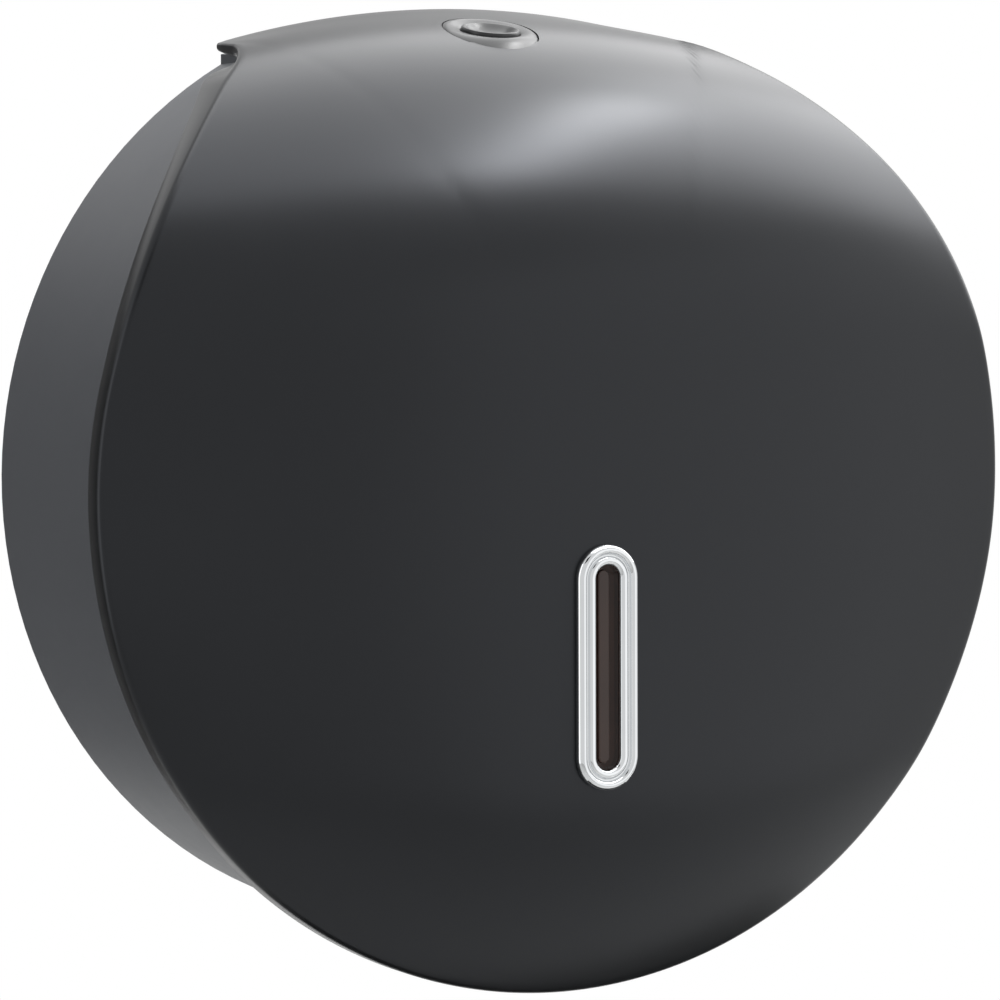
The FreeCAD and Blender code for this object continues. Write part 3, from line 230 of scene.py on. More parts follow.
def new_piece(name: str, mesh: BMesh, finish: Material, body: Body,
              smooth_deg: float = SMOOTH_DEG) -> Object:
    """Turn a bmesh into a piece that rides on a body.

    Args:
        name: The piece's name.
        mesh: Its bmesh, in metres, which is freed.
        finish: Its material.
        body: The body that it rides on.
        smooth_deg: Edges sharper than this stay sharp.

    Returns:
        The new object.
    """
    data = bpy.data.meshes.new(name)
    bmesh.ops.recalc_face_normals(mesh, faces=mesh.faces)
    mesh.to_mesh(data)
    mesh.free()
    data.shade_smooth()
    data.set_sharp_from_angle(angle=math.radians(smooth_deg))
    data.materials.append(finish)
    piece = bpy.data.objects.new(name, data)
    bpy.context.collection.objects.link(piece)
    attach(piece, body.value)
    return piece


def subtract(piece: Object, cutters: list[BMesh], smooth_deg: float = SMOOTH_DEG) -> None:
    """Cut bmesh solids out of a piece for good.

    Args:
        piece: The object that is cut.
        cutters: Closed bmeshes in metres, which are freed.
        smooth_deg: Edges sharper than this stay sharp.
    """
    for cutter in cutters:
        bmesh.ops.recalc_face_normals(cutter, faces=cutter.faces)
        data = bpy.data.meshes.new("cutter")
        cutter.to_mesh(data)
        cutter.free()
        tool = bpy.data.objects.new("cutter", data)
        bpy.context.collection.objects.link(tool)
        cutting = piece.modifiers.new("cut", "BOOLEAN")
        cutting.object = tool
        cutting.operation = "DIFFERENCE"
        cutting.solver = "EXACT"
        bpy.context.view_layer.update()
        depsgraph = bpy.context.evaluated_depsgraph_get()
        result = bpy.data.meshes.new_from_object(piece.evaluated_get(depsgraph))
        piece.modifiers.clear()
        piece.data = result
        bpy.data.objects.remove(tool)
    piece.data.shade_smooth()
    piece.data.set_sharp_from_angle(angle=math.radians(smooth_deg))


def turned_solid(outline: list[Pair], place: Matrix, segments: int = 96) -> BMesh:
    """Spin an outline about its axis.

    Args:
        outline: Radius and height of each corner in millimetres, from axis to axis.
        place: Where the axis stands, in metres.
        segments: Faces round the axis.

    Returns:
        The closed bmesh in metres.
    """
    mesh = bmesh.new()
    corners = [mesh.verts.new((radius * MM, 0, height * MM)) for radius, height in outline]
    edges = [mesh.edges.new(pair) for pair in zip(corners, corners[1:])]
    bmesh.ops.spin(mesh, geom=corners + edges, cent=(0, 0, 0), axis=(0, 0, 1), angle=math.tau,
                   steps=segments, use_merge=True, use_duplicate=False)
    bmesh.ops.remove_doubles(mesh, verts=mesh.verts, dist=WELD)
    bmesh.ops.transform(mesh, matrix=place, verts=mesh.verts)
    return mesh


def cylinder(radius: float, low: float, high: float, place: Matrix, segments: int = 96) -> BMesh:
    """Turn a plain cylinder.

    Args:
        radius: Its radius in millimetres.
        low: Height of its lower end.
        high: Height of its upper end.
        place: Where its axis stands, in metres.
        segments: Faces round the axis.

    Returns:
        The closed bmesh in metres.
    """
    return turned_solid([(0, low), (radius, low), (radius, high), (0, high)], place, segments)


def framed(place: Vector) -> Vector:
    """Turn a point from the sheet's coordinates into the dispenser's frame.

    Args:
        place: Right, depth in front of the wall and height, in millimetres.

    Returns:
        The point in metres.
    """
    return Vector((place.x, -place.y, place.z)) * MM


@dataclass
class CrownedSheet:
    """The cover's face: a line in the middle plane, crowned from side to side. Sizes in millimetres.

    The line runs from the visor's back over the shoulder, down the front and round the chin. Easing is
    the run over which a bend sets in, tip_power the sharpness of the visor's tips, step the line's own
    step, and drift_steps how many of them share out what the eased bends push the front forward.
    """

    radius: float = 135.9
    visor_depth: float = 13.6
    visor_height: float = 126.15
    visor_slope: float = 10.4
    shoulder_radius: float = 90.8
    front_depth: float = 104.35
    chin_height: float = -75.0
    chin_radius: float = 103.0
    chin_sweep: float = 52.0
    easing: float = 18.0
    centre: float = 190.0
    tip_power: float = 90.0
    step: float = 0.25
    drift_steps: int = 500

    def __post_init__(self) -> None:
        """Walk the middle line once and keep its points."""
        shoulder_d = self.front_depth - self.shoulder_radius
        slope = math.radians(self.visor_slope)
        line = shoulder_d + self.shoulder_radius * math.sin(slope) - self.visor_depth
        end_z = self.visor_height - line * math.tan(slope)
        shoulder_z = end_z - self.shoulder_radius * math.cos(slope)
        run_one = line / math.cos(slope)
        run_two = run_one + self.shoulder_radius * (math.pi / 2 - slope)
        run_three = run_two + shoulder_z - self.chin_height
        run_four = run_three + self.chin_radius * math.radians(self.chin_sweep)
        self.bends = ((run_one, run_two, 1 / self.shoulder_radius),
                      (run_three, run_four, 1 / self.chin_radius))
        self.length = run_four
        stations = [0.0]
        stations += [run_one + (run_two - run_one) * share for share in SHOULDER_STATIONS]
        stations += [run_two + (run_three - run_two) * share for share in FRONT_STATIONS]
        stations += [run_three + self.chin_radius * math.radians(turn) for turn in CHIN_STATIONS_DEG]
        stations += [self.length + 1]
        self.crowns = [(run, 1 / (share * CROWN_UNIT)) for run, share in zip(stations, CROWNS)]
        depth, height, tilt = self.visor_depth, self.visor_height, slope
        self.walk = []
        for index in range(int(self.length / self.step) + 2):
            self.walk.append((depth, height, tilt))
            tilt += self.bend(index * self.step) * self.step
            depth += math.cos(tilt) * self.step
            height -= math.sin(tilt) * self.step
        drift = max(depth for depth, height, tilt in self.walk) - self.front_depth
        self.walk = [(depth - drift * smooth_step(index / self.drift_steps), height, tilt)
                     for index, (depth, height, tilt) in enumerate(self.walk)]

    def bend(self, run: float) -> float:
        """Curvature of the middle line, with eased ends to each bend.

        Args:
            run: Run along the line.

        Returns:
            One over the radius there, in millimetres.
        """
        total = 0.0
        for start, end, curvature in self.bends:
            rise = min(max((run - start) / self.easing + 0.5, 0.0), 1.0)
            fall = min(max((run - end) / self.easing + 0.5, 0.0), 1.0)
            total += curvature * (rise - fall)
        return total

    def middle(self, run: float) -> Triple:
        """Follow the middle line, and go straight on behind its start.

        Args:
            run: Run along the line.

        Returns:
            Depth, height, and tilt in radians.
        """
        if run < 0:
            slope = math.radians(self.visor_slope)
            depth, height = run * math.cos(slope), -run * math.sin(slope)
            return self.visor_depth + depth, self.visor_height + height, slope
        place = min(run, self.length) / self.step
        low = int(place)
        share = place - low
        first, second = self.walk[low], self.walk[min(low + 1, len(self.walk) - 1)]
        depth, height, tilt = [a + (b - a) * share for a, b in zip(first, second)]
        return depth, height, tilt

    def crown(self, run: float) -> float:
        """Radius of the crown from side to side, smooth through its stations.

        Args:
            run: Run along the line.

        Returns:
            The radius.
        """
        table = self.crowns
        place = max(index for index, (start, bend) in enumerate(table[:-1]) if start <= max(run, 0.0))
        (start, bend), (end, next_bend) = table[place], table[place + 1]
        before = table[max(place - 1, 0)]
        after = table[min(place + 2, len(table) - 1)]
        span = end - start
        share = (run - start) / span
        slope_in = (next_bend - before[1]) / max(end - before[0], 1e-6) * span
        slope_out = (after[1] - bend) / max(after[0] - start, 1e-6) * span
        square, cube = share * share, share ** 3
        curvature = ((2 * cube - 3 * square + 1) * bend + (cube - 2 * square + share) * slope_in
                     + (3 * square - 2 * cube) * next_bend + (cube - square) * slope_out)
        return 1 / curvature

    def outward(self, run: float, across: float) -> Vector:
        """Which way the face looks at a point.

        Args:
            run: Run along the line.
            across: Distance to the right.

        Returns:
            Its unit normal as right, depth and height.
        """
        tilt = self.middle(run)[2]
        radius = self.crown(run)
        rise = math.sqrt(radius ** 2 - across ** 2) / radius
        return Vector((across / radius, rise * math.sin(tilt), rise * math.cos(tilt)))

    def place(self, run: float, across: float, drop: float = 0.0) -> Vector:
        """A point of the sheet, or under it.

        Args:
            run: Run along the line.
            across: Distance to the right.
            drop: Depth under the face.

        Returns:
            The point as right, depth and height.
        """
        depth, height, tilt = self.middle(run)
        radius = self.crown(run)
        sag = radius - math.sqrt(radius ** 2 - across ** 2)
        face = Vector((across, depth - sag * math.sin(tilt), height - sag * math.cos(tilt)))
        return face - self.outward(run, across) * drop

    def edge(self, angle: float) -> Pair:
        """Find the cover's edge in a direction from the sheet's centre, the visor's tips rounded.

        Args:
            angle: The direction in radians, from straight right towards the chin.

        Returns:
            Run along the middle line and distance across.
        """
        low, high = 0.0, EDGE_REACH
        for _ in range(HALVINGS):
            middle = (low + high) / 2
            there = self.place(self.centre + middle * math.sin(angle), middle * math.cos(angle))
            if math.hypot(there.x, there.z) <= self.radius:
                low = middle
            else:
                high = middle
        # A soft minimum of the round edge and the visor's straight back.
        if math.sin(angle) < 0:
            back = -self.centre / math.sin(angle)
            low *= (1 + (low / back) ** self.tip_power) ** (-1 / self.tip_power)
        return self.centre + low * math.sin(angle), low * math.cos(angle)

    def from_edge(self, edge: Pair, inset: float, drop: float) -> Vector:
        """A point inset from an edge point towards the sheet's centre, and under the face.

        Args:
            edge: Run and across of the edge point.
            inset: Distance in from the edge.
            drop: Depth under the face.

        Returns:
            The point as right, depth and height.
        """
        run, across = edge[0] - self.centre, edge[1]
        share = max(1 - inset / math.hypot(run, across), 0.0)
        return self.place(self.centre + run * share, across * share, drop)

    def meeting(self, across: float, drop: float, start: float, before: Callable) -> Vector:
        """Find where the layer under the face meets a line of sight.

        Args:
            across: Distance to the right.
            drop: Depth of the layer under the face.
            start: Run at which the search starts.
            before: Tells whether a point of the layer still comes before the line.

        Returns:
            The point as right, depth and height.
        """
        low, high = start, self.length
        for _ in range(LAYER_HALVINGS):
            run = (low + high) / 2
            there = self.place(run, across / (1 - drop / self.crown(run)), drop)
            if before(there):
                low = run
            else:
                high = run
        return there

    def depth_under(self, across: float, height: float, drop: float) -> float:
        """How far from the wall the layer under the face is, at a point of the front view.

        Args:
            across: Distance to the right.
            height: The point's height.
            drop: Depth of the layer under the face.

        Returns:
            Its depth.
        """
        return self.meeting(across, drop, LAYER_START, lambda there: there.z > height).y

    def height_under(self, across: float, depth: float, drop: float) -> float:
        """How high the layer under the face is, at a point of the top view.

        Args:
            across: Distance to the right.
            depth: The point's depth in front of the wall.
            drop: Depth of the layer under the face.

        Returns:
            Its height.
        """
        return self.meeting(across, drop, 0.0, lambda there: there.y < depth).z


@dataclass
class Cover:
    """The swinging cover: its crowned shell with skirt and visor, hinge lugs and lock boss.

    Sizes are in millimetres. The skirt sets in at the depth visor_end, over the run of blend. Its end
    is rounded by lip, and the visor's edge thickens to a bead over bead_run.
    """

    abs_finish: Material
    sheet: CrownedSheet
    wall: float = 2.6
    skirt: float = 6.4
    visor_end: float = 34.0
    blend: float = 18.0
    ridge_round: float = 1.6
    bead: float = 0.6
    bead_run: float = 12.0
    cells: int = 116
    lock_depth: float = 41.0
    lock_floor: float = 118.6
    lock_tilt: float = 11.0
    lug_inner: float = 54.6
    lug_width: float = 7.0
    hinge_depth: float = 72.0
    hinge_height: float = -108.0
    lug_radius: float = 5.0
    lug_round: float = 0.5
    arm_steps: int = 5
    pin_bore: float = 2.05
    lip: float = 0.5
    lip_middle: Pair = (0.15, 0.12)
    inner_border: float = 0.6
    inner_rise: float = 0.8
    inner_step: float = 0.3
    least_forward: float = 0.4
    edge_steps: int = 1440
    warp_reach_deg: float = 18.0
    recess_radius: float = 13.3
    recess_height: float = 12.0
    lock_bore: float = 10.1
    window_half: Pair = (7.4, 30.9)
    window_cut: Pair = (96.0, 108.0)

    def lock_place(self, rise: float = 0.0) -> Matrix:
        """Where the lock's axis stands.

        Args:
            rise: Height over the recess floor in millimetres.

        Returns:
            The place in metres.
        """
        turn = Matrix.Rotation(math.radians(self.lock_tilt), 4, "X")
        floor = Matrix.Translation((0, -self.lock_depth * MM, self.lock_floor * MM))
        return floor @ turn @ Matrix.Translation((0, 0, rise * MM))

    def skirted(self, edge: Pair) -> float:
        """Share of the full skirt: none along the visor, all of it further forward.

        Args:
            edge: Run and across of an edge point.

        Returns:
            The share there, from 0 to 1.
        """
        return smooth_step((self.sheet.place(*edge).y - self.visor_end) / self.blend)

    def rim_point(self, edge: Pair, loop: int) -> Vector:
        """Where a loop round the cover's edge lies at an edge point.

        Args:
            edge: Run and across of the edge point.
            loop: Number of the loop, from the face's border (0) to the inner face's border (12).

        Returns:
            The point as right, depth and height in millimetres.
        """
        sheet, share = self.sheet, self.skirted(edge)
        corner = sheet.place(*edge)
        half = self.wall / 2 + self.bead * smooth_step((corner.y - sheet.visor_depth) / self.bead_run)
        out = sheet.outward(*edge)
        radial = Vector((corner.x, 0, corner.z)).normalized()
        forward = max(out.y, self.least_forward)
        start = sheet.from_edge(edge, half + (self.ridge_round - half) * share, 0)
        if loop == 0:
            return start

        def under(inset: float, drop: float) -> Vector:
            return corner - radial * inset - Vector((0, (drop - inset * radial.dot(out)) / forward, 0))

        if loop <= RIDGE_LOOPS:
            amount = loop / RIDGE_LOOPS
            end = under(0, self.ridge_round * forward)
            turn = (start - corner).angle(end - corner, math.pi)
            pull = 2 * amount * (1 - amount) * math.sin(turn / 2)
            full = (start * (1 - amount) ** 2 + corner * pull + end * amount ** 2) / (
                (1 - amount) ** 2 + pull + amount ** 2)
        else:
            inset, rise = self.lip_middle
            full = {6: under(0, self.skirt - self.lip), 7: under(inset, self.skirt - rise),
                    8: under(self.lip, self.skirt), 9: under(self.wall - self.lip, self.skirt),
                    10: under(self.wall, self.skirt - self.lip),
                    11: under(self.wall, self.wall + self.inner_rise),
                    12: sheet.from_edge(edge, self.wall + self.inner_border, self.wall)}[loop]
        # The visor's bare edge turns by half a circle up to the loop after ROUND_LOOP.
        angle = math.pi * min(loop / (ROUND_LOOP + 1), 1)
        inset = (half * (1 - math.sin(angle)) if loop <= ROUND_LOOP
                 else half + self.inner_step * (loop - ROUND_LOOP))
        bare = sheet.from_edge(edge, inset, half * (1 - math.cos(angle)))
        return bare.lerp(full, share)

    def disc(self, mesh: BMesh, loop: int, drop: float) -> dict[BMVert, Pair]:
        """Lay a grid on the sheet out to one of the rim's loops.

        Args:
            mesh: The bmesh that gets the grid.
            loop: The loop at the grid's border.
            drop: Depth under the face.

        Returns:
            The edge point of each border vertex.
        """
        sheet, cells, rim = self.sheet, self.cells, {}
        made = bmesh.ops.create_grid(mesh, x_segments=cells, y_segments=cells, size=1.0)["verts"]
        inset = {0: self.ridge_round, INNER_LOOP: self.wall + self.inner_border}[loop]
        for vert in made:
            u, v = vert.co.x, vert.co.y
            across, along = u * math.sqrt(1 - v * v / 2), v * math.sqrt(1 - u * u / 2)
            turn = self.warped(math.atan2(along, across))
            if vert.is_boundary:
                rim[vert] = sheet.edge(turn)
                vert.co = framed(self.rim_point(rim[vert], loop))
                continue
            run, side = self.rough_edge(turn)
            part = math.hypot(across, along) * (1 - inset / math.hypot(run, side))
            vert.co = framed(sheet.place(sheet.centre + run * part, side * part, drop))
        return rim

    def warped(self, turn: float) -> float:
        """Shift directions a little, so that the nearest grid line meets each of the visor's tips.

        Args:
            turn: A direction from the sheet's centre in radians.

        Returns:
            The shifted direction.
        """
        side = 1 if abs(turn) < math.pi / 2 else -1
        from_side = turn if side > 0 else (math.pi - turn if turn > 0 else -math.pi - turn)
        if from_side >= 0:
            return turn
        grid_step = math.pi / 2 / self.cells
        tip = self.tip_angle
        target = round((tip + math.pi / 4) / grid_step) * grid_step - math.pi / 4
        reach = math.radians(self.warp_reach_deg)
        moved = from_side + (tip - target) * max(1 - abs(from_side - target) / reach, 0)
        return moved if side > 0 else -math.pi - moved

    def rough_edge(self, turn: float) -> Pair:
        """Read the edge from the table of directions.

        Args:
            turn: A direction from the sheet's centre in radians.

        Returns:
            Run and across from the centre to the edge.
        """
        place = (turn % math.tau) / math.tau * len(self.table)
        low = int(place) % len(self.table)
        share = place - int(place)
        first, second = self.table[low], self.table[(low + 1) % len(self.table)]
        return first[0] + (second[0] - first[0]) * share, first[1] + (second[1] - first[1]) * share

    def __post_init__(self) -> None:
        """Find the visor's tips and table the edge."""
        sheet = self.sheet
        edges = [sheet.edge(math.tau * index / self.edge_steps) for index in range(self.edge_steps)]
        self.table = [(run - sheet.centre, across) for run, across in edges]
        low, high = TIP_SEARCH
        for _ in range(HALVINGS):
            across = (low + high) / 2
            there = sheet.place(0.0, across)
            low, high = (across, high) if math.hypot(there.x, there.z) < sheet.radius else (low, across)
        self.tip_angle = math.atan2(-sheet.centre, low)

    def shell(self) -> Object:
        """Build the shell: face, rounded ridge, skirt and inner face.

        Returns:
            The shell, with the lock's recess and hole and the window's slot cut out.
        """
        mesh = bmesh.new()
        edge_of = self.disc(mesh, 0, 0.0)
        rim = [line for line in mesh.edges if line.is_boundary]
        for loop in range(1, INNER_LOOP + 1):
            made = bmesh.ops.extrude_edge_only(mesh, edges=rim)["geom"]
            verts = [item for item in made if isinstance(item, BMVert)]
            before = set(edge_of)
            rim = [item for item in made if isinstance(item, BMEdge)
                   and item.verts[0] not in before and item.verts[1] not in before]
            moved = {}
            for vert in verts:
                beside = [line.other_vert(vert) for line in vert.link_edges]
                moved[vert] = edge_of[next(old for old in beside if old in before)]
                vert.co = framed(self.rim_point(moved[vert], loop))
            edge_of = moved
        self.disc(mesh, INNER_LOOP, self.wall)
        bmesh.ops.remove_doubles(mesh, verts=mesh.verts, dist=SHELL_WELD)
        piece = new_piece("cover_skin", mesh, self.abs_finish, Body.COVER,
                          SHELL_SMOOTH_DEG)
        subtract(piece, [cylinder(self.recess_radius, 0, self.recess_height, self.lock_place()),
                         cylinder(self.lock_bore, -self.recess_height, 1, self.lock_place()),
                         slot_solid(*self.window_half, *self.window_cut)],
                 SHELL_SMOOTH_DEG)
        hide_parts("cover_shell")
        return piece

    def fittings(self) -> None:
        """Build the lock's boss and the two hinge lugs under the shell."""
        boss = turned_solid(BOSS_OUTLINE, self.lock_place())
        for vert in boss.verts:
            under = self.sheet.height_under(vert.co.x / MM, -vert.co.y / MM, self.wall / 2) * MM
            vert.co.z = min(vert.co.z, under)
        new_piece("lock_boss", boss, self.abs_finish, Body.COVER)
        for name, side in (("left", -1), ("right", 1)):
            self.lug(name, side)

    def lug(self, name: str, side: int) -> None:
        """Build one hinge lug: a round eye on an arm that runs into the cover's inner face.

        Args:
            name: Which side it is on.
            side: 1 to the right, -1 to the left.
        """
        low_x = self.lug_inner if side > 0 else -self.lug_inner - self.lug_width
        middle = low_x + self.lug_width / 2
        outline = []
        for turn in range(90, 271, 10):
            angle = math.radians(turn)
            outline.append((self.hinge_depth + self.lug_radius * math.cos(angle),
                            self.hinge_height + self.lug_radius * math.sin(angle)))
        for step in range(self.arm_steps + 1):
            height = self.hinge_height - self.lug_radius + 2 * self.lug_radius * step / self.arm_steps
            outline.append((self.sheet.depth_under(middle, height, self.wall / 2), height))
        mesh = bmesh.new()
        corners = [mesh.verts.new(framed(Vector((low_x, depth, height)))) for depth, height in outline]
        face = mesh.faces.new(corners)
        made = bmesh.ops.extrude_face_region(mesh, geom=[face])["geom"]
        verts = [item for item in made if isinstance(item, BMVert)]
        bmesh.ops.translate(mesh, verts=verts, vec=(self.lug_width * MM, 0, 0))
        sides = [line for line in mesh.edges if abs(line.verts[0].co.x - line.verts[1].co.x) < TOUCH]
        bmesh.ops.bevel(mesh, geom=sides, offset=self.lug_round * MM, segments=3, profile=0.5,
                        affect="EDGES", material=-1)
        piece = new_piece("hinge_lug_" + name, mesh, self.abs_finish, Body.COVER)
        axis = Matrix.Translation(framed(Vector((low_x, self.hinge_depth, self.hinge_height))))
        across = axis @ Matrix.Rotation(math.pi / 2, 4, "Y")
        subtract(piece, [cylinder(self.pin_bore, -2, self.lug_width + 2, across, 48)])


@dataclass
class SlotRings:
    """Rings of an upright slot, drawn in from its outline, for the window's pieces. Millimetres."""

    half_width: float
    half_length: float
    arc_steps: int = 32

    def ring(self, mesh: BMesh, inset: float, depth: float) -> list[BMVert]:
        """Add one closed ring of vertices.

        Args:
            mesh: The bmesh that gets it.
            inset: Distance in from the outline.
            depth: Distance in front of the wall.

        Returns:
            The ring's vertices in order.
        """
        radius = self.half_width - inset
        reach = self.half_length - self.half_width
        made = []
        for side, start in ((1, 0.0), (-1, math.pi)):
            for step in range(self.arc_steps + 1):
                angle = start + math.pi * step / self.arc_steps
                height = WINDOW_HEIGHT + side * reach + radius * math.sin(angle)
                made.append(mesh.verts.new(framed(Vector((radius * math.cos(angle), depth, height)))))
        return made

    def swept(self, profile: list[Pair], closed: bool) -> BMesh:
        """Skin the rings of a profile.

        Args:
            profile: Inset and depth of each ring.
            closed: Whether the last ring joins the first; otherwise both ends are capped.

        Returns:
            The closed bmesh in metres.
        """
        mesh = bmesh.new()
        rings = [self.ring(mesh, inset, depth) for inset, depth in profile]
        for first, second in zip(rings, rings[1:] + rings[:1] if closed else rings[1:]):
            count = len(first)
            for index in range(count):
                following = (index + 1) % count
                mesh.faces.new((first[index], first[following], second[following], second[index]))
        if not closed:
            mesh.faces.new(rings[0])
            mesh.faces.new(rings[-1])
        return mesh


@dataclass
class Window:
    """The sight window: a chromed bezel with two bands, and a smoke lens with a raised strip.

    Sizes are in millimetres. The cover's face is at the depth face, and the bezel's rise is over it.
    """

    chrome: Material
    smoke: Material
    face: float = 104.4
    rise: float = 2.4
    bezel_half: Pair = (9.1, 32.6)
    lens_half: Pair = (5.85, 29.75)

    def bezel(self) -> None:
        """Build the bezel: a convex outer band, a groove, an inner band and the neck for the lens."""
        top, low = self.face + self.rise, self.face
        # Inset from the outline and depth of each ring: the bands, then the lens's seat and the neck.
        profile = [
            (0.0, low), (0.0, low + 0.7), (0.08, low + 1.2), (0.3, low + 1.65), (0.65, low + 2.05),
            (1.05, top - 0.08), (1.5, top), (1.9, top - 0.1), (2.25, top - 0.35), (2.45, top - 0.65),
            (2.55, top - 1.0), (2.7, top - 1.15), (2.95, top - 1.2), (3.15, top - 1.1),
            (3.25, top - 0.9), (3.45, top - 0.6), (3.75, top - 0.4), (4.2, top - 0.32),
            (4.75, top - 0.4), (5.15, top - 0.65), (5.42, top - 1.05), (5.56, top - 1.6),
            (5.6, top - 2.2), (5.6, 102.6), (3.2, 102.6), (3.2, 100.2), (3.0, 100.0), (2.0, 100.0),
            (1.8, 100.2), (1.8, low)]
        mesh = SlotRings(*self.bezel_half).swept(profile, True)
        piece = new_piece("bezel_ring", mesh, self.chrome, Body.COVER, BEZEL_SMOOTH_DEG)
        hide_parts("window_bezel")

    def lens(self) -> None:
        """Build the lens: a thin plate with a round-edged strip along its middle."""
        profile = [(0.15, 101.0), (0.0, 101.15), (0.0, 102.45), (0.15, 102.6), (3.9, 102.6),
                   (4.05, 102.66), (4.1, 102.8), (4.12, 103.2), (4.2, 103.38), (4.38, 103.48),
                   (4.6, 103.5)]
        mesh = SlotRings(*self.lens_half).swept(profile, False)
        piece = new_piece("sight_strip", mesh, self.smoke, Body.COVER)
        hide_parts("window_lens")


def slot_solid(half_width: float, half_length: float, back: float, front: float) -> BMesh:
    """An upright slot with round ends at the window, between two depths in front of the wall.

    Args:
        half_width: Half its width in millimetres.
        half_length: Half its length.
        back: Depth of its back.
        front: Depth of its front.

    Returns:
        The closed bmesh in metres.
    """
    mesh = bmesh.new()
    made = bmesh.ops.create_circle(mesh, cap_ends=True, radius=half_width * MM, segments=64)["verts"]
    reach = half_length - half_width
    for vert in made:
        side = 1 if vert.co.y > TOUCH else -1 if vert.co.y < -TOUCH else 0
        vert.co = Vector((vert.co.x, -back * MM, vert.co.y + (WINDOW_HEIGHT + side * reach) * MM))
    top = bmesh.ops.extrude_face_region(mesh, geom=list(mesh.faces))["geom"]
    verts = [item for item in top if isinstance(item, BMVert)]
    bmesh.ops.translate(mesh, verts=verts, vec=(0, (back - front) * MM, 0))
    return mesh


@dataclass
class KeyLock:
    """The lock in the visor: a broad ring in its recess and a turning barrel with a dished face.

    Sizes are in millimetres. From level_from outwards the ring eases over level_run to lie level_gap
    under the cover's face.
    """

    lacquer: Material
    cover: Cover
    level_from: float = 8.4
    level_run: float = 4.4
    level_gap: float = 0.4
    tail_side: float = 6.0
    tail_length: float = 2.4
    tail_round: float = 0.3
    tail_height: float = -15.5
    floor_play: float = 0.01

    def ring(self) -> None:
        """Build the fixed sleeve with its ring, whose border is level with the cover's face."""
        place = self.cover.lock_place()
        mesh = turned_solid(RING_OUTLINE, place)
        for vert in mesh.verts:
            beside = place.inverted() @ vert.co
            outwards = (math.hypot(beside.x, beside.y) / MM - self.level_from) / self.level_run
            if beside.z > -self.floor_play * MM:
                face = self.cover.sheet.height_under(vert.co.x / MM, -vert.co.y / MM, 0.0) * MM
                level = face + beside.z - self.level_gap * MM
                vert.co.z += (level - vert.co.z) * smooth_step(outwards)
        piece = new_piece("lock_ring", mesh, self.lacquer, Body.COVER)
        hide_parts("lock_sleeve")

    def barrel(self) -> None:
        """Build the barrel with its rim, dish, key hole and square tail."""
        mesh = turned_solid(BARREL_OUTLINE, self.cover.lock_place())
        size = Matrix.Diagonal((self.tail_side * MM, self.tail_side * MM, self.tail_length * MM, 1))
        place = self.cover.lock_place(self.tail_height) @ size
        tail = bmesh.ops.create_cube(mesh, size=1.0, matrix=place)["verts"]
        edges = list({line for vert in tail for line in vert.link_edges})
        bmesh.ops.bevel(mesh, geom=edges, offset=self.tail_round * MM, segments=2, profile=0.5,
                        affect="EDGES", material=-1)
        piece = new_piece("lock_plug", mesh, self.lacquer, Body.LOCK)
        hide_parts("lock_barrel")


NODE_FINISH = {name: finish for finish, names in (
    (HOUSING_ABS, ("rear_housing",)),
    (RUBBER, ("cover_bumpers",)),
    (ACETAL, ("spindle_post", "spindle_hub", "spindle_cap", "spindle_flange")),
    (ZINC, ("spindle_post_screws", "spindle_washer", "spindle_screw", "strike_plate", "strike_screws",
            "tear_strip_left", "tear_strip_right", "tear_strip_screws", "hinge_pin_left",
            "hinge_pin_right", "window_retainer", "lock_washer", "lock_nut", "lock_cam",
            "lock_cam_screw"))) for name in names}


def seen_share(tree: NodeTree) -> NodeSocket:
    """Add nodes that tell the rays which see a surface, straight, mirrored or through glass.

    Args:
        tree: The node tree.

    Returns:
        A socket that is 1 for those rays and 0 for the others.
    """
    path = add_node(tree, "ShaderNodeLightPath")
    share = path.outputs["Is Camera Ray"]
    for kind in ("Is Glossy Ray", "Is Transmission Ray"):
        either = add_node(tree, "ShaderNodeMath", {"operation": "MAXIMUM"})
        tree.links.new(share, either.inputs[0])
        tree.links.new(path.outputs[kind], either.inputs[1])
        share = either.outputs[0]
    return share


def facing(place: Triple, aim: Triple) -> Matrix:
    """Stand at a place and look at a point along the own axis -Z.

    Args:
        place: The place.
        aim: The point.

    Returns:
        The matrix of both.
    """
    way = Vector(aim) - Vector(place)
    return Matrix.Translation(place) @ way.to_track_quat("-Z", "Y").to_matrix().to_4x4()


def staged(name: str, mesh: BMesh, finish: Material) -> Object:
    """Turn a bmesh into a piece of the stage, which is no part of the dispenser.

    Args:
        name: The piece's name.
        mesh: Its bmesh, in metres, which is freed.
        finish: Its material.

    Returns:
        The new object.
    """
    data = bpy.data.meshes.new(name)
    mesh.to_mesh(data)
    mesh.free()
    data.materials.append(finish)
    piece = bpy.data.objects.new(name, data)
    bpy.context.collection.objects.link(piece)
    return piece


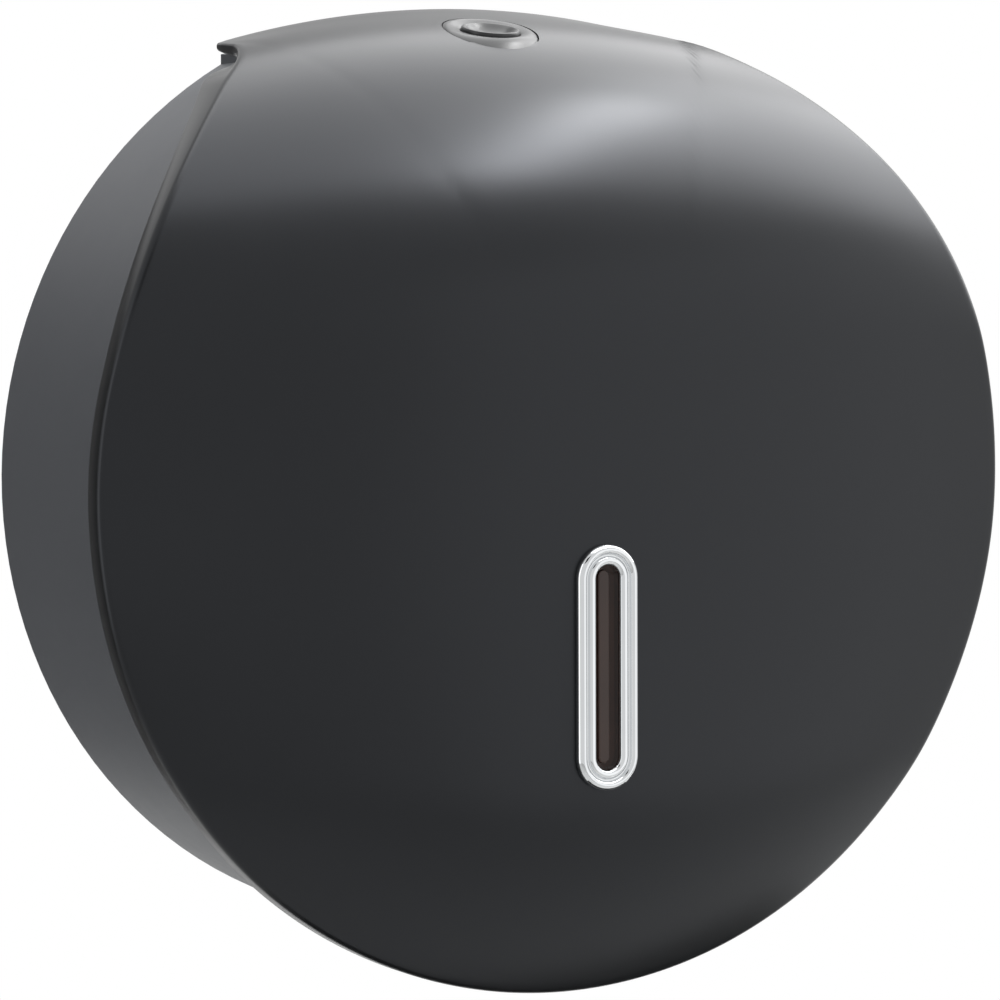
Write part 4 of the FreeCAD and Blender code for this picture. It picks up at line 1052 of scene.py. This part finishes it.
@dataclass
class Studio:
    """The camera at the photograph's angle, soft lamps and a plain pale room. Sizes in metres.

    The world is white to the eye and lights by world_level. The floor glows to the camera alone.
    """

    turn_deg: float = 28.397
    rise_deg: float = 4.849
    roll_deg: float = -0.192
    distance: float = 1.5
    lens_mm: float = 200.754
    shift: Pair = (-0.02492, -0.02140)
    aim: Triple = (0.0, -0.06, 0.0)
    world_level: float = 0.35
    floor_place: Triple = (0.0, -0.4, -0.6)
    floor_radius: float = 1.5
    floor_glow: float = 0.65

    def camera(self) -> None:
        """Put up the camera and frame the photograph's view."""
        turn, rise, roll = map(math.radians, (self.turn_deg, self.rise_deg, self.roll_deg))
        level = math.cos(rise)
        back = Vector((-math.sin(turn) * level, -math.cos(turn) * level, math.sin(rise)))
        right = (-back).cross(Vector((0, 0, 1))).normalized()
        up = right.cross(-back).normalized()
        across = right * math.cos(roll) + up * math.sin(roll)
        upright = up * math.cos(roll) - right * math.sin(roll)
        data = bpy.data.cameras.new("camera")
        data.lens = self.lens_mm
        data.sensor_width = 36.0
        data.shift_x, data.shift_y = self.shift
        data.clip_end = 20.0
        camera = bpy.data.objects.new("camera", data)
        bpy.context.collection.objects.link(camera)
        turned = Matrix((across, upright, back)).transposed().to_4x4()
        camera.matrix_world = Matrix.Translation(Vector(self.aim) + back * self.distance) @ turned
        bpy.context.scene.camera = camera

    def lamp(self, name: str, place: Triple, size: Pair, power: float) -> None:
        """Hang a soft lamp that faces the dispenser.

        Args:
            name: The lamp's name.
            place: Where it hangs.
            size: Its width and height.
            power: Its power in watts.
        """
        data = bpy.data.lights.new(name, "AREA")
        data.shape = "RECTANGLE"
        data.size, data.size_y = size
        data.energy = power
        lamp = bpy.data.objects.new(name, data)
        bpy.context.collection.objects.link(lamp)
        lamp.matrix_world = facing(place, self.aim)

    def card(self, name: str, place: Triple, aim: Triple, size: Pair, colour: str) -> None:
        """Hang a card that only shows in gloss and chrome, as darker parts of the room do.

        Args:
            name: The card's name.
            place: Where it hangs.
            aim: The point that it faces.
            size: Its width and height.
            colour: Its sRGB colour.
        """
        mesh = bmesh.new()
        bmesh.ops.create_grid(mesh, x_segments=1, y_segments=1, size=0.5)
        bmesh.ops.transform(mesh, matrix=facing(place, aim) @ Matrix.Diagonal((*size, 1, 1)),
                            verts=mesh.verts)
        felt = Finish(name + "_felt", colour, colour, 0.9, relief=0.1).material()
        card = staged(name, mesh, felt)
        card.visible_camera = card.visible_shadow = card.visible_diffuse = False

    def room(self) -> None:
        """Light the world plainly, white to the eye, and lay the floor."""
        scene = bpy.context.scene
        scene.view_settings.view_transform = "Standard"
        world = bpy.data.worlds.new("room")
        scene.world = world
        world.use_nodes = True
        tree = world.node_tree
        tree.nodes.clear()
        level = add_node(tree, "ShaderNodeMapRange", {"To Min": self.world_level},
                         {"Value": seen_share(tree)})
        back = add_node(tree, "ShaderNodeBackground", {"Color": linear("ffffff")},
                        {"Strength": level.outputs["Result"]})
        add_node(tree, "ShaderNodeOutputWorld", {}, {"Surface": back.outputs["Background"]})

        mesh = bmesh.new()
        bmesh.ops.create_circle(mesh, cap_ends=True, segments=64, radius=self.floor_radius)
        bmesh.ops.translate(mesh, verts=mesh.verts, vec=self.floor_place)
        staged("floor", mesh, self.floor_paint())

    def floor_paint(self) -> Material:
        """Make the floor's pale grey paint, nearly white to the camera apart from a shadow.

        Returns:
            The material.
        """
        made = Finish("pale_paint", "d8d8d7", "dededd", 0.75, mottle_mm=400.0, relief_mm=4.0).material()
        tree = made.node_tree
        output = next(node for node in tree.nodes if node.type == "OUTPUT_MATERIAL")
        paint = next(node for node in tree.nodes if node.type == "BSDF_PRINCIPLED")
        glow = add_node(tree, "ShaderNodeEmission", {"Color": linear("ffffff"), "Strength": 1.0})
        seen = add_node(tree, "ShaderNodeLightPath").outputs["Is Camera Ray"]
        share = add_node(tree, "ShaderNodeMapRange", {"To Max": self.floor_glow}, {"Value": seen})
        mixed = add_node(tree, "ShaderNodeMixShader", {}, {"Fac": share.outputs["Result"]})
        tree.links.new(paint.outputs["BSDF"], mixed.inputs[1])
        tree.links.new(glow.outputs["Emission"], mixed.inputs[2])
        tree.links.new(mixed.outputs["Shader"], output.inputs["Surface"])
        return made


def dress_nodes(made: dict[str, Material]) -> None:
    """Give every shown CAD node its finish.

    Args:
        made: Materials by finish name.
    """
    for name, finish in NODE_FINISH.items():
        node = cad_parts[name]
        for slot in node.material_slots:
            slot.material = made[finish.name]
        if not node.material_slots:
            node.data.materials.append(made[finish.name])
        log.info("dressed %s in %s", name, finish.name)


def main() -> None:
    """Build the scene: materials, the CAD nodes' looks, each sub-assembly, then the studio."""
    logging.basicConfig(level=logging.INFO, format="%(name)s: %(message)s")
    made = {finish.name: finish.material()
            for finish in (COVER_ABS, HOUSING_ABS, ACETAL, CHROME, LACQUER, ZINC, SMOKE, RUBBER)}
    dress_nodes(made)
    cover = Cover(made[COVER_ABS.name], CrownedSheet())
    shell = cover.shell()
    log.info("built %s with %d faces", shell.name, len(shell.data.polygons))
    cover.fittings()
    window = Window(made[CHROME.name], made[SMOKE.name])
    window.bezel()
    window.lens()
    log.info("built the window")
    lock = KeyLock(made[LACQUER.name], cover)
    lock.ring()
    lock.barrel()
    log.info("built the lock")
    studio = Studio()
    studio.camera()
    studio.lamp("overhead", (0.5, 0.1, 1.35), (2.0, 2.4), 44.0)
    studio.lamp("upper_right", (1.45, 0.1, 0.95), (1.1, 1.5), 15.0)
    studio.lamp("streak", (0.52, -0.26, 1.02), (0.74, 0.12), 5.4)
    studio.lamp("left", (-1.6, -0.1, 0.15), (0.6, 2.0), 5.0)
    studio.lamp("front_right", (1.6, -2.0, 0.1), (2.4, 2.4), 9.0)
    studio.card("card_high", (-0.75, -0.85, 1.05), (0, 0, 0), (0.6, 0.5), "161616")
    studio.card("card_behind", (-0.45, 0.75, -0.14), (0, 0, -0.14), (1.2, 0.9), "5c5c5c")
    # A dark card just over the floor under the dispenser: painted shade of the floor there, seen only
    # in the gloss of the cover's chin.
    studio.card("floor_shade_card", (0.22, 0.06, -0.57), (0.22, 0.06, 0.0), (0.85, 0.52), "202020")
    studio.room()


if __name__ == "__main__":
    main()
